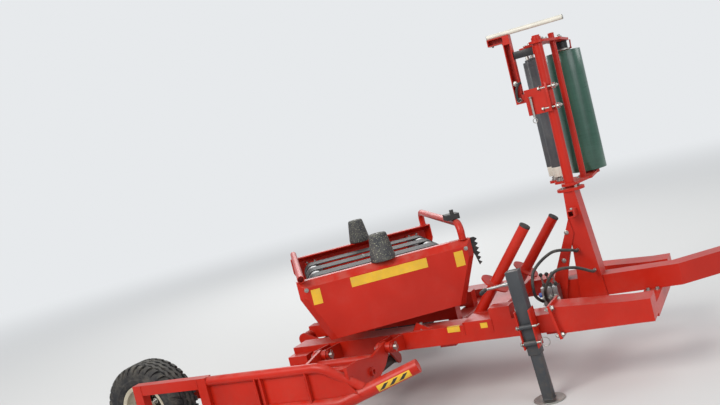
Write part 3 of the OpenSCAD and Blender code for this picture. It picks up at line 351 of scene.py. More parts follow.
class Shape:
    """Gathers one piece's parts, in millimetres from the table's axis, and makes its mesh."""

    def __init__(self, turn=None):
        self.turn = turn or Matrix()
        self.verts, self.faces, self.looks, self.look = [], [], [], 0

    def add(self, verts, faces, place=None):
        start = len(self.verts)
        if place is not None:
            verts = [place @ Vector(v) for v in verts]
        self.verts += [Vector(v) for v in verts]
        self.faces += [tuple(start + i for i in face) for face in faces]
        self.looks += [self.look] * len(faces)

    def lathe(self, profile, place, sides=48, closed=False):
        """(radius, height) pairs turned round the place's Z axis. A radius of 0 at an end closes it."""
        verts, rings = [], []
        for radius, height in profile:
            if radius < 1e-6:
                rings.append([len(verts)] * sides)
                verts.append((0, 0, height))
                continue
            rings.append(list(range(len(verts), len(verts) + sides)))
            for k in range(sides):
                a = math.radians(360.0 * k / sides)
                verts.append((radius * math.cos(a), radius * math.sin(a), height))
        pairs = list(zip(rings, rings[1:]))
        if closed:
            pairs.append((rings[-1], rings[0]))
        faces = []
        for low, high in pairs:
            for k in range(sides):
                m = (k + 1) % sides
                face = [low[k], low[m], high[m], high[k]]
                face = [v for i, v in enumerate(face) if v != face[i - 1]]
                if len(face) > 2:
                    faces.append(face)
        self.add(verts, faces, place)

    def tube(self, points, radius, sides=12, ripple=0.0):
        """A round bar along points. The radius may be one for each point."""
        points = [Vector(p) for p in points]
        last = len(points) - 1
        radii = radius if isinstance(radius, (list, tuple)) else [radius] * len(points)
        ahead = [(points[min(i + 1, last)] - points[max(i - 1, 0)]).normalized() for i in range(last + 1)]
        side = ahead[0].orthogonal().normalized()
        verts, faces = [], []
        for i, p in enumerate(points):
            side = (side - ahead[i] * side.dot(ahead[i])).normalized()
            up = ahead[i].cross(side)
            r = radii[i] * (1 + ripple * math.sin(i * 2.1))
            for k in range(sides):
                a = 2 * math.pi * k / sides
                verts.append(p + r * (math.cos(a) * side + math.sin(a) * up))
        for i in range(last):
            for k in range(sides):
                m = (k + 1) % sides
                faces.append((i * sides + k, i * sides + m, (i + 1) * sides + m, (i + 1) * sides + k))
        faces.append(tuple(reversed(range(sides))))
        faces.append(tuple(last * sides + k for k in range(sides)))
        self.add(verts, faces)

    def block(self, low, high, bevel=1.5, place=None):
        """A box with its edges cut, from one corner to the other."""
        bm = bmesh.new()
        bmesh.ops.create_cube(bm, size=1.0)
        for v in bm.verts:
            v.co = Vector((low[i] + (high[i] - low[i]) * (v.co[i] + 0.5) for i in range(3)))
        if bevel:
            bmesh.ops.bevel(bm, geom=bm.edges[:], offset=bevel, segments=2, affect="EDGES", profile=0.5)
        self.take(bm, place)

    def foil(self, front, back):
        """A flat foil, from four corners in front to four behind."""
        rims = [(k, k + 4, (k + 1) % 4 + 4, (k + 1) % 4) for k in range(4)]
        self.add(front + back, [(0, 1, 2, 3), (7, 6, 5, 4)] + rims)

    def take(self, bm, place=None):
        bm.verts.index_update()
        self.add([v.co.copy() for v in bm.verts], [[v.index for v in f.verts] for f in bm.faces], place)
        bm.free()

    def bolt(self, at, toward, size=16.0, washer=True, nut=False, turn=None):
        """A hexagon head (or a nut with its thread's end) on a washer, facing toward."""
        place = facing(at, toward, rng.uniform(0, 60) if turn is None else turn)
        r = size / 2 / math.cos(math.radians(30))
        lift = 0.0
        if washer:
            thick = size * 0.13
            self.lathe([(0, 0), (size * 0.86, 0), (size * 0.9, 0.4), (size * 0.9, thick - 0.4),
                        (size * 0.86, thick), (0, thick)], place, 24)
            lift = thick
        tall = lift + size * 0.6
        self.lathe([(r, lift), (r, tall - size * 0.07), (r * 0.88, tall)], place, 6)
        inner = r * 0.8
        self.lathe([(r * 0.88, tall), (inner, tall + 0.3), (0, tall + 0.3)], place, 6)
        if nut:
            shank = size * 0.31
            self.lathe([(shank, tall - 1), (shank, tall + size * 0.28), (shank * 0.8, tall + size * 0.34),
                        (0, tall + size * 0.34)], place, 16)

    def bead(self, points, size=4.0, closed=False):
        """A weld bead along points."""
        points = [Vector(p) for p in points]
        if closed:
            points.append(points[0])
        fine = []
        for a, b in zip(points, points[1:]):
            count = max(2, int((b - a).length / 5))
            fine += [a.lerp(b, k / count) for k in range(count)]
        fine.append(points[-1])
        self.tube(fine, [size * rng.uniform(0.86, 1.1) for _ in fine], 7, ripple=0.07)

    def make(self, name, body, looks, smooth=35.0, stands_for=None):
        """The piece's object, riding on its body, in place of a node if one is named."""
        mesh = bpy.data.meshes.new(name)
        mesh.from_pydata([(self.turn @ v - SHIFT) * MM for v in self.verts], [], self.faces)
        for look in looks:
            mesh.materials.append(look)
        mesh.polygons.foreach_set("material_index", self.looks)
        mesh.update()
        bm = bmesh.new()
        bm.from_mesh(mesh)
        bmesh.ops.recalc_face_normals(bm, faces=bm.faces[:])
        bm.to_mesh(mesh)
        bm.free()
        obj = bpy.data.objects.new(name, mesh)
        bpy.context.scene.collection.objects.link(obj)
        mesh.shade_smooth()
        mesh.set_sharp_from_angle(angle=math.radians(smooth))
        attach(obj, body)
        if stands_for:
            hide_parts(stands_for)


def facing(at, toward, turn=0.0):
    """A place at a point, with Z toward a direction."""
    quat = Vector(toward).normalized().to_track_quat("Z", "Y")
    return Matrix.Translation(at) @ quat.to_matrix().to_4x4() @ Matrix.Rotation(math.radians(turn), 4, "Z")


def spline(points, per=8):
    """A smooth curve through points."""
    points = [Vector(p) for p in points]
    out = []
    last = len(points) - 1
    for i in range(last):
        a, b, c, d = points[max(i - 1, 0)], points[i], points[i + 1], points[min(i + 2, last)]
        for k in range(per):
            t = k / per
            out.append(0.5 * (2 * b + (c - a) * t + (2 * a - 5 * b + 4 * c - d) * t * t
                              + (3 * b - a - 3 * c + d) * t ** 3))
    out.append(points[-1])
    return out


def shift_to(x, y, z):
    return Matrix.Translation((x, y, z))


def circle(place, radius, count, height=0.0):
    """Points round a place's Z axis."""
    angles = [2 * math.pi * k / count for k in range(count)]
    return [place @ Vector((radius * math.cos(a), radius * math.sin(a), height)) for a in angles]


def tyre(name, node, body, centre, outward):
    """Implement tyre: a smooth carcass, three zigzag ribs and a row of shoulder lugs on each side."""
    s = Shape()
    place = facing(centre, (0, outward, 0))
    crown = 277.0
    side = [(153.5, 75), (167.5, 80), (170, 90), (184, 98), (196, 100.5), (199, 103), (207, 103.3),
            (210, 101.8), (224, 102.3), (233, 103.6), (238, 103.2), (241, 101.4), (252, 97.5), (263, 90),
            (270, 80), (274, 63), (276.4, 34), (crown, 0)]
    outline = side + [(r, -h) for r, h in reversed(side[:-1])]
    s.lathe(outline + [(166, -68), (166, 68)], place, 120, closed=True)
    # Zigzag ribs: highest in the middle, a little less beside it
    count = 34
    for middle, width, top, phase in ((0, 25, 289.6, 0), (-38, 23, 288.6, 1), (38, 23, 288.6, 1)):
        verts, faces = [], []
        for k in range(2 * count):
            a = math.pi * k / count
            shift = 6 * (1 if (k + phase) % 2 else -1)
            for h, r in ((-width / 2 - 2, 273), (-width / 2 + 1, top - 1), (-width / 2 + 2.5, top),
                         (width / 2 - 2.5, top), (width / 2 - 1, top - 1), (width / 2 + 2, 273)):
                verts.append((r * math.cos(a), r * math.sin(a), middle + shift + h))
        n = 6
        for k in range(2 * count):
            m = (k + 1) % (2 * count)
            for i in range(n - 1):
                faces.append((k * n + i, m * n + i, m * n + i + 1, k * n + i + 1))
            faces.append((k * n + n - 1, m * n + n - 1, m * n, k * n))
        s.add(verts, faces, place)
    # Shoulder lugs, wrapped over the shoulder and down the side
    wrap = [(288.0, 63), (287.2, 76), (281.5, 90), (270, 99), (256, 103.5), (243, 104.2)]
    root = [(271, 61), (268, 75), (263, 84), (256, 90.5), (247, 95), (239, 99)]
    for hand in (-1, 1):
        for k in range(count):
            middle = 2 * math.pi * (k + (0.5 if hand > 0 else 0)) / count
            verts = []
            for i, ((r, h), (r0, h0)) in enumerate(zip(wrap, root)):
                spread = 0.060 - 0.005 * i
                lean = 0.012 * i * hand
                section = ((-spread - 0.006, r0, h0), (-spread, r, h), (spread, r, h), (spread + 0.006, r0, h0))
                for edge, rr, hh in section:
                    a = middle + lean + edge
                    verts.append((rr * math.cos(a), rr * math.sin(a), hand * hh))
            faces = [(0, 1, 2, 3), (23, 22, 21, 20)]
            for i in range(5):
                for j in range(4):
                    m = (j + 1) % 4
                    faces.append((4 * i + j, 4 * i + 4 + j, 4 * i + 4 + m, 4 * i + m))
            s.add(verts, faces, place)
    s.make(name, body, [TYRE], smooth=28, stands_for=node)


def rim(name, node, body, centre, outward):
    """Pressed rim with a dished disc, hand holes, wheel bolts and a hub cap."""
    s = Shape()
    place = facing(centre, (0, outward, 0))
    lip = [(148, 74), (151, 86), (161, 88), (166, 90), (166.8, 91.2), (164, 91.8), (158, 91), (151, 89),
           (143, 87)]
    barrel = [(143, 60), (135, 44), (119, 34), (117, 0), (119, -34), (135, -52), (143, -66), (143, -87),
              (151, -89), (158, -91), (164, -91.8), (166.8, -91.2), (166, -90), (161, -88), (151, -86),
              (148, -66), (140, -50), (124, -32), (122, 0), (124, 32), (140, 42), (148, 60)]
    s.lathe(lip + barrel, place, 96, closed=True)
    # Disc, with five hand holes between its ribs
    rings = [(49, 34), (60, 34.5), (80, 32), (86, 26), (93, 14), (101, 6), (109, 2), (116, 2), (123, 10)]
    sides, verts, faces = 120, [], []
    for r, h in rings:
        for k in range(sides):
            a = 2 * math.pi * k / sides
            wave = 3.0 * math.cos(5 * a) * math.exp(-((r - 95) / 14) ** 2)
            verts.append((r * math.cos(a), r * math.sin(a), h + wave))
    for i in range(len(rings) - 1):
        for k in range(sides):
            middle = (k % 24) - 11.5
            if i in (4, 5) and abs(middle) < (3.6 if i == 4 else 3.0):
                continue
            m = (k + 1) % sides
            faces.append((i * sides + k, i * sides + m, (i + 1) * sides + m, (i + 1) * sides + k))
    bm = bmesh.new()
    corners = [bm.verts.new(v) for v in verts]
    for face in faces:
        bm.faces.new([corners[i] for i in face])
    bmesh.ops.solidify(bm, geom=bm.faces[:], thickness=-5.0)
    s.take(bm, place)
    # Hub and cap
    s.lathe([(47.9, 30), (47.9, 64), (45, 67), (40, 68), (38.5, 74), (35, 79), (26, 82), (0, 83)], place, 48)
    s.lathe([(0, 30), (47.9, 30)], place, 48)
    s.lathe([(25.5, -74.5), (47.9, -74.5), (47.9, 30), (25.5, 30)], place, 48, closed=True)
    s.look = 1
    for k in range(5):
        a = 2 * math.pi * (k + 0.5) / 5
        at = place @ Vector((69 * math.cos(a), 69 * math.sin(a), 34))
        s.bolt(at, (0, outward, 0), 21, nut=True)
    s.look = 2
    a = math.radians(74)
    valve = [place @ Vector((r * math.cos(a), r * math.sin(a), h))
             for r, h in ((136, 46), (132, 58), (127, 72), (125, 80))]
    s.tube(spline(valve, 4), 4.2, 10)
    s.make(name, body, [RIM, ZINC, HOSE], smooth=32, stands_for=node)


RIGHT_WHEEL = (-1330, -860, 290)
LEFT_WHEEL = (-360, 940, 290)
tyre("tyre_tread_right", "tyre_right", "wheel_right", RIGHT_WHEEL, -1)
tyre("tyre_tread_left", "tyre_left", "wheel_left", LEFT_WHEEL, 1)
rim("rim_disc_right", "rim_right", "wheel_right", RIGHT_WHEEL, -1)
rim("rim_disc_left", "rim_left", "wheel_left", LEFT_WHEEL, 1)


def cone(name, node, body, side):
    """Moulded rubber cone that cuts and holds the film, with its bolt in a hollow on top."""
    s = Shape(TABLE_TURN)
    place = shift_to(0, side * 629, 900.3)
    profile = [(12.3, 0), (66, 0), (71, 2), (72.8, 6), (72.8, 23), (71.4, 30), (69.6, 38), (66, 62), (61, 96),
               (56, 128), (52.8, 148), (50, 155), (45, 159.3), (26, 159.3), (23, 157), (22, 148), (12.3, 148)]
    s.lathe(profile, place, 72, closed=True)
    s.look = 1
    s.bolt(place @ Vector((0, 0, 147.9)), (0, 0, 1), 15, turn=12)
    s.make(name, body, [CONE, ZINC], smooth=34, stands_for=node)


cone("cone_rubber_near", "cone_near", "cone_near", -1)
cone("cone_rubber_far", "cone_far", "cone_far", 1)

# Blank warning foils and the corner bolts on the panels' faces
PANEL_FACE = 680
foils = Shape(TABLE_TURN)
panel_bolts = Shape(TABLE_TURN)
for side in (-1, 1):
    for left, right, low, high in ((-218, 236, 801, 857), (-452, -398, 757, 845), (398, 452, 757, 845)):
        spots = ((left, low), (right, low), (right, high), (left, high))
        foils.foil(*([(-side * x, side * (PANEL_FACE + out), z) for x, z in spots] for out in (0.7, 0)))
    for x in (-474, 474):
        panel_bolts.bolt((-side * x, side * (PANEL_FACE - 0.5), 850), (0, side, 0), 14)
    # Bolts of the roller bearings and of the cross beams: X of a pair, half its gap, Y, Z, size
    for middle, gap, y, z, size in ((380, 28, 603, 848, 13), (250, 24, 560, 640, 15)):
        for x in (-middle - gap, -middle + gap, middle - gap, middle + gap):
            panel_bolts.bolt((x, side * y, z), (0, 0, 1), size)
foils.make("panel_foils", "table", [STICKER], smooth=30)
panel_bolts.make("panel_bolts", "table", [ZINC], smooth=30)

# Weld beads inside the table
welds = Shape(TABLE_TURN)
for side in (-1, 1):
    y = side * 671
    for x in (-250, 250):
        welds.bead([(x - 40, y, 561), (x - 40, y, 640), (x + 40, y, 640), (x + 40, y, 561)], 3.6)
        welds.bead([(x - 40, side * 400, 641), (x + 40, side * 400, 641)], 3.2)
    welds.bead(circle(shift_to(478, side * 635, 901), 24, 16), 3.2, closed=True)
    for x in (-508, -472):
        welds.bead([(x, side * 640, 903), (x, side * 672, 903)], 3.2)
welds.make("table_welds", "table", [RED], smooth=60)

# Belt laces: the wire hinges that join each belt's ends
LACE = ((-14, 855.8), (-5, 856.9), (0, 857.2), (5, 856.9), (14, 855.8))
laces = Shape(TABLE_TURN)
for x, y in ((-120, -435), (90, -145), (-40, 145), (160, 435)):
    for at in range(y - 78, y + 79, 13):
        laces.tube([(x + dx, at, z) for dx, z in LACE], 1.3, 6)
    laces.tube([(x, y - 84, 857.4), (x, y + 84, 857.4)], 1.6, 8)
laces.make("belt_laces", "table", [ZINC], smooth=50)

# Slewing ring and its bolts on the tilting frame
ring = Shape()
ring.lathe([(211, 500.5), (219, 500.5), (219, 509), (211, 511.5)], Matrix(), 72, closed=True)
for quarter in range(4):
    for degrees in (33, 45, 57):
        a = math.radians(degrees + 90 * quarter)
        if abs(math.sin(a)) < 0.85:
            ring.bolt((231 * math.cos(a), 231 * math.sin(a), 500), (0, 0, 1), 12)
ring.make("slewing_ring", "tilt_frame", [ZINC], smooth=30)

# Motor: two port plugs and a ring of bolts
motor = Shape()
for y in (-16, 16):
    motor.bolt((-95, y, 355), (-1, 0, 0), 20, washer=False)
for k in range(6):
    a = 2 * math.pi * (k + 0.5) / 6
    motor.bolt((62 * math.cos(a), 62 * math.sin(a), 400), (0, 0, -1), 12)
motor.make("motor_bolts", "tilt_frame", [ZINC], smooth=30)


# Jack: sleeve, its red channel, spacers with pins, crank
JACK = shift_to(1100, -573, 350) @ Matrix.Rotation(math.radians(-3), 4, "Y") @ shift_to(0, 0, -350)
PIN_HEIGHTS = (333, 424)


def on_jack(x, y, z):
    return JACK @ Vector((x, y, z))


sleeve = Shape()
for low, high in (((-35, -35, 261), (-29, 35, 728)), ((29, -35, 261), (35, 35, 728)),
                  ((-30, -35, 261), (30, -29, 728)), ((-30, 29, 261), (30, 35, 728)),
                  ((-31, -31, 712), (31, 31, 726))):
    sleeve.block(low, high, 1.2, JACK)
sleeve.block((-36.2, -20, 640), (-35, 20, 690), 0.4, JACK)
sleeve.tube([on_jack(-40, 0, 661), on_jack(-34, 0, 661)], 19, 24)
for z in PIN_HEIGHTS:
    sleeve.tube([on_jack(-35, -49, z), on_jack(35, -49, z)], 12.5, 24)
sleeve.look = 1
for low, high in (((-42.8, -54, 300), (-35.2, 42.5, 512)), ((35.2, -54, 300), (42.8, 42.5, 512)),
                  ((-42.8, 35.2, 300), (42.8, 42.8, 512))):
    sleeve.block(low, high, 1.0, JACK)
sleeve.look = 2
for z in PIN_HEIGHTS:
    sleeve.tube([on_jack(-54, -49, z), on_jack(60, -49, z)], 6.8, 16)
    sleeve.bolt(on_jack(-43, -49, z), (-1, 0, 0), 17)
for z in (345, 400, 455, 500):
    sleeve.bolt(on_jack(-43, 10, z), (-1, 0, 0), 11)
# Ring of the lower pin and lever of the upper one
ring_at = on_jack(60, -49, PIN_HEIGHTS[0])
sleeve.tube([ring_at + Vector((24 + 24 * math.cos(a), -3, 24 * math.sin(a) - 2))
             for a in [math.pi + 2 * math.pi * k / 28 for k in range(29)]], 2.6, 8)
lever_at = on_jack(55, -49, PIN_HEIGHTS[1])
lever = ((0, 0, 0), (10, -8, 3), (24, -12, 10), (8, -13, 2), (-6, -10, -3))
sleeve.tube(spline([lever_at + Vector(v) for v in lever], 5), 2.4, 8)
sleeve.make("jack_sleeve_built", "chassis", [GREY, RED, ZINC], smooth=32,
            stands_for="jack_sleeve")

crank = Shape()
shaft, knee = Vector((-35, 0, 661)), Vector((-177, 0, 655))
crank.tube([JACK @ (shaft + Vector(v)) for v in ((-2, 0, 0), (-34, 0, 0))], 10.8, 20)
bend = [shaft - Vector((30, 0, 0)), shaft.lerp(knee, 0.5), knee + Vector((14, 0, 0.4)),
        knee + Vector((3, -3, 0)), knee - Vector((0, 14, 0))]
crank.tube([JACK @ v for v in spline(bend, 5)], 7.8, 14)
crank.look = 1
grip = [(0, -12), (7, -12), (10, -9.5), (12, -6), (12.9, 10), (12.4, 30), (12.9, 50), (12.2, 62), (10.5, 69),
        (7, 71.5), (0, 72)]
crank.lathe(grip, facing(JACK @ (knee - Vector((0, 13, 0))), (0, -1, 0)), 24)
crank.make("jack_crank_bent", "chassis", [STEEL, BLACK], smooth=40, stands_for="jack_crank")

foot = Shape()
foot.lathe([(0, 9), (83.5, 9), (85.3, 7.4), (85.3, 1.4), (84, 0.2), (0, 0.2)], shift_to(1118.3, -573, 0), 72)
foot.look = 1
foot.block((-28.7, -28.7, 7.5), (28.7, 28.7, 499.6), 2.2, JACK)
leg_x = on_jack(0, 0, 8).x
foot.bead([(leg_x + x, -573 + y, 9.6) for x, y in ((-29, -29), (29, -29), (29, 29), (-29, 29))], 3.0,
          closed=True)
foot.make("jack_leg_plate", "jack_leg", [ZINC, GREY], smooth=32, stands_for="jack_leg")

# Caps on the posts' ends, and their weld beads
LEAN = math.radians(40)
caps = Shape()
post_welds = Shape()
for base in ((880, -320, 617), (905, 250, 560)):
    place = shift_to(*base) @ Matrix.Rotation(LEAN, 4, "Y")
    caps.lathe([(30.9, 384), (32.2, 384.5), (32.2, 392), (30.5, 395), (24, 396.5), (0, 397)], place, 48)
    post_welds.bead(circle(place, 33, 20, 9.5), 3.4, closed=True)
    foot_x = base[0] - (base[2] - 470) * math.tan(LEAN)
    post_welds.bead([(foot_x + 42.5 * math.cos(a), base[1] + 33 * math.sin(a), 471)
                     for a in [2 * math.pi * k / 24 for k in range(24)]], 3.6, closed=True)
caps.make("post_caps", "chassis", [RUBBER], smooth=40)
post_welds.make("post_welds", "chassis", [RED], smooth=60)

# Flange bolts
bolts = Shape()
lean = math.radians(10)
for side in (-1, 1):
    for dz in (20, 170):
        for dy in (-92, 92):
            z = 316 + dz * math.cos(lean)
            x = 1240 - (316 - 350) * math.tan(lean) - dz * math.sin(lean)
            y = side * 450 + dy
            front = Vector((x + 15 * math.cos(lean), y, z + 15 * math.sin(lean)))
            bolts.bolt(front, (math.cos(lean), 0, math.sin(lean)), 20)
            bolts.bolt((x, y, z), (-math.cos(lean), 0, -math.sin(lean)), 20, nut=True)
# Drawbar: bolts on the cross beams; mast foot
for x in (1665, 1715):
    for side in (-1, 1):
        bolts.bolt((x, side * 82, 400), (0, 0, 1), 18)
for k in range(4):
    a = math.radians(45 + 90 * k)
    bolts.bolt((1355 + 56 * math.cos(a), 56 * math.sin(a), 1044), (0, 0, 1), 15)
bolts.make("frame_bolts", "chassis", [ZINC], smooth=30)

# Valve block: three bolted sections with levers, black knobs, ports and a blue cap
valve = Shape()
valve.block((1080, -200, 400.3), (1200, -82.2, 413.8), 1.0)
for k in range(3):
    x = 1091 + 33.2 * k
    valve.block((x, -169, 414), (x + 31.6, -91, 519), 2.2)
    valve.lathe([(0, 0), (12, 0), (12, 8), (9, 12), (0, 12)], facing((x + 16, -90.5, 490), (0, 1, 0)), 24)
valve.look = 1
for k in range(3):
    x = 1106 + 34 * k
    valve.lathe([(9.5, 0), (14.5, 0), (15.5, 1.5), (15.5, 11), (14, 12.5), (9.5, 13)],
                facing((x, -169.5, 460), (0, -1, 0)), 6, closed=True)
    valve.lathe([(0, 12), (9.9, 12), (9.9, 29.8), (0, 29.8)], facing((x, -169.5, 460), (0, -1, 0)), 24)
    valve.tube([(x, -130, 516), (x, -132, 524), (x, -150, 582)], 5.4, 14)
    valve.bolt((x, -105, 519), (0, 0, 1), 12)
valve.look = 2
for k in range(3):
    x = 1106 + 34 * k
    valve.lathe([(0, -12), (5, -11), (9.5, -7.5), (12, 0), (10.5, 6.5), (6, 10.8), (0, 12)],
                facing((x, -150.3, 592), (0, -20, 74)), 24)
    valve.lathe([(8.5, 519), (12.5, 519), (9.8, 523), (11.8, 527), (9.0, 531), (10.4, 535), (6.4, 540),
                 (5.2, 540)], shift_to(x, -131, 0), 24)
valve.look = 3
valve.lathe([(0, 0), (13, 0), (14, 1.5), (14, 18), (12, 21), (0, 21)],
            facing((1087, -130, 470), (-1, 0, 0)), 32)
valve.make("valve_sections", "chassis", [STEEL, ZINC, BLACK, BLUE], smooth=32,
           stands_for="valve_block")

# Hoses, held at both ends, with their crimped ferrules
HOSES = (
    ((1106, -200.8, 460), (1106, -240, 460), (1085, -285, 520), (1100, -250, 640), (1200, -170, 715),
     (1300, -130, 705), (1330, -110, 690), (1330, -70.9, 690)),
    ((1140, -200.8, 460), (1140, -250, 460), (1160, -310, 540), (1230, -300, 630), (1320, -220, 620),
     (1390, -140, 570), (1400, -110, 560), (1400, -70.9, 560)),
    ((1174, -200.8, 460), (1174, -240, 455), (1150, -290, 432), (1100, -322, 418), (1050, -332, 410),
     (1010, -345, 405), (1010, -369.1, 405)),
)
FERRULE = [(0, 0.2), (8.5, 0.2), (10.5, 1.5), (10.5, 9), (9.5, 10), (10.6, 11.5), (10.6, 25), (9.4, 27),
           (8, 27)]
hoses = Shape()
for points in HOSES:
    hoses.look = 0
    hoses.tube(spline(points, 10), 8.8, 18)
    hoses.look = 1
    for at, after in ((points[0], points[1]), (points[-1], points[-2])):
        hoses.lathe(FERRULE, facing(Vector(at), Vector(after) - Vector(at)), 24)
hoses.make("hoses_crimped", "chassis", [HOSE, ZINC], smooth=40,
           stands_for="hydraulic_hoses")


# Film roll: wound film with slightly uneven ends on a cardboard core
film = Shape()
at_roll = shift_to(1390, 465, 0)
edge = [(44.5, 1082.6)]
for k in range(1, 22):
    edge.append((44.5 + 3 * k - 0.5, 1082.4 + (0.5 if k % 2 else -0.2) + 0.5 * math.sin(k * 1.3)))
low_end = edge + [(106.2, 1082.9), (107.3, 1085.2)]
high_end = [(r, 2914.0 - z) for r, z in reversed(low_end)]
film.lathe(low_end + [(107.4, 1300), (107.2, 1500), (107.4, 1700)] + high_end, at_roll, 120)
film.lathe([(44.4, 1083), (44.4, 1831)], at_roll, 60)
film.look = 1
film.lathe([(38.2, 1076.2), (43.9, 1076.2), (43.9, 1837.8), (38.2, 1837.8)], at_roll, 60, closed=True)
film.make("film_wound", "film_roll", [FILM, CARD], smooth=40, stands_for="film_roll")

# Stretching rollers: rubber sleeve, pale end piece, upper collar, steel shaft with its rings
ROLLER_PARTS = (  # look, sides, closed, profile
    (0, 72, False, [(34, 1160.5), (34.8, 1162), (34.8, 1778), (34, 1779.5)]),
    (1, 60, False, [(11.5, 1100.2), (33, 1100.2), (34, 1102), (34, 1161)]),
    (0, 60, False, [(34, 1779), (34, 1817), (33, 1818.6), (20, 1818.8), (20, 1832), (11.5, 1832)]),
    (2, 32, False, [(0, 1057.2), (11, 1057.2), (11.8, 1058.5), (11.8, 1920.5), (10.6, 1922.6), (0, 1922.8)]),
    (2, 32, True, [(12, 1071.5), (22, 1071.5), (23, 1072.5), (23, 1083), (20, 1085), (20, 1093), (12, 1093)]),
    (2, 32, True, [(12, 1878), (22, 1878), (23, 1880), (23, 1892.5), (22, 1893.8), (12, 1893.8)]),
)
for name, node, x, y in (("stretch_sleeve_a", "stretch_roller_a", 1200, 340),
                         ("stretch_sleeve_b", "stretch_roller_b", 1258, 215)):
    s = Shape()
    for s.look, sides, closed, profile in ROLLER_PARTS:
        s.lathe(profile, shift_to(x, y, 0), sides, closed)
    s.make(name, node, [ROLLER, CREAM, ZINC], smooth=34, stands_for=node)

# Dispenser: caps of the centring hubs, tie tube's end, straps, bolts and a locking pin
hubs = Shape()
hubs.lathe([(38.0, 1849.4), (38.8, 1849.4), (38.8, 1890), (40.5, 1891), (40.5, 1894), (38.0, 1894)],
           at_roll, 56, closed=True)
hubs.look = 1
hubs.lathe([(38.2, 1848.6), (51, 1848.6), (52.6, 1847.4), (52.6, 1839.4), (52.0, 1839.4), (52.0, 1848.4),
            (38.2, 1848.4)], at_roll, 64, closed=True)
hubs.look = 2
hubs.tube([(1450, 466, 1894), (1446, 466, 1846)], 4.5, 14)
hubs.block((1440, 459, 1840.5), (1452, 473, 1849.5), 1)
hubs.make("roll_hub_cap", "chassis", [BLACK, ZINC, RED], smooth=34)

top = Shape()
top.tube([(1400, 200, 1911), (1400, 200, 1940)], 18, 40)
top.lathe([(17.5, 1939), (18.6, 1940), (18.6, 1943), (16, 1945), (0, 1946)], shift_to(1400, 200, 0), 40)
top.look = 1
top.bolt((1390, 465, 1910), (0, 0, 1), 30, nut=True)
for low, high in (((1366, 44, 1910.2), (1374, 172, 1916)), ((1384, 46, 1910.2), (1392, 172, 1916))):
    top.block(low, high, 0.8)
for y in (60, 150):
    top.bolt((1379, y, 1911), (0, 0, 1), 16, nut=True)
for z in (1071, 1910):
    top.bolt((1372, 180, z), (0, 0, 1), 13)
top.make("dispenser_fittings", "chassis", [RED, ZINC], smooth=34)

# Clamp on the pole: four long bolts and their plates, a drop pin with its ring, the arm's handle
clamp = Shape()
for z in (1522, 1640):
    for y in (-38, 38):
        clamp.tube([(1318, y, z), (1396, y, z)], 6.2, 16)
        clamp.bolt((1320, y, z), (-1, 0, 0), 19)
        clamp.bolt((1391, y, z), (1, 0, 0), 19, nut=True)
clamp.lathe([(0, 0), (11, 0), (12, 1.5), (12, 7), (0, 7)], facing((1258, -52, 1600), (0, 0, 1)), 6)
clamp.tube([(1258, -52, 1602), (1258, -52, 1486)], 7, 18)
clamp.tube([(1258 + 13 * math.sin(a), -54, 1480 - 13 + 13 * math.cos(a))
            for a in [2 * math.pi * k / 20 for k in range(21)]], 2.4, 8)
clamp.tube([(1186, -27, 1604), (1206, -40, 1600)], 6, 14)
for z in (1700, 1604):
    clamp.bolt((1186, -25.2, z), (0, -1, 0), 16)
clamp.look = 1
for low, high, cut in (((1351, -50, 1499), (1365, -47, 1668), 1.0), ((1351, 47, 1499), (1365, 50, 1668), 1.0),
                       ((1386, -50, 1506), (1392, 50, 1538), 1.2), ((1386, -50, 1624), (1392, 50, 1656), 1.2)):
    clamp.block(low, high, cut)
clamp.look = 2
handle = [(1222, -34, 1700), (1204, -40, 1692), (1190, -42, 1666), (1183, -42, 1634), (1184, -42, 1606),
          (1192, -42, 1600)]
clamp.tube(spline(handle, 6), 7.5, 18)
clamp.block((1208.4, -17, 1839), (1326, 17, 1881), 1.4)
clamp.make("mast_fittings", "chassis", [ZINC, RED, BLACK], smooth=34)

# Guide arm: end caps of its tube, and screws
guide = Shape()
for x, way in ((1075.9, -1), (1527.1, 1)):
    guide.lathe([(0, 0), (13.9, 0), (13.9, 1.2), (12, 2.4), (0, 2.6)], facing((x, 0, 2000), (way, 0, 0)), 32)
for x in (1100, 1160):
    guide.bolt((x, 0, 1946), (0, 0, -1), 11)
for z in (1700, 1790, 1900):
    guide.bolt((1186, 25, z), (0, 1, 0), 12)
guide.make("guide_fittings", "chassis", [ZINC], smooth=34)

# Mast foot: weld beads, bolts of the stub and the strut
mast = Shape()
for side in (-1, 1):
    mast.bead([(1285, side * 71, 401), (1440, side * 71, 401)], 4)
mast.bead([(1284, -70, 401), (1284, -61, 401)], 4)
mast.bead([(1441, -62, 401), (1441, -71, 401)], 4)
mast.bead(circle(shift_to(1355, 0, 1045), 29.5, 24), 3.2, closed=True)
mast.bead([(1334, -76, 889), (1334, -76, 931), (1376, -76, 931), (1376, -76, 889)], 3, closed=True)
mast.bead([(1098, -79, 401), (1203, -79, 401)], 3.6)
mast.bead([(1131, -51, 521), (1131, 31, 521)], 3.4)
mast.look = 1
mast.bolt((1355, -110, 930), (0, 0, 1), 13)
mast.bolt((1240, -78, 640), (0, -1, 0), 15)
mast.bolt((1290, -78, 800), (0, -1, 0), 15)
mast.make("mast_welds", "chassis", [RED, ZINC], smooth=50)


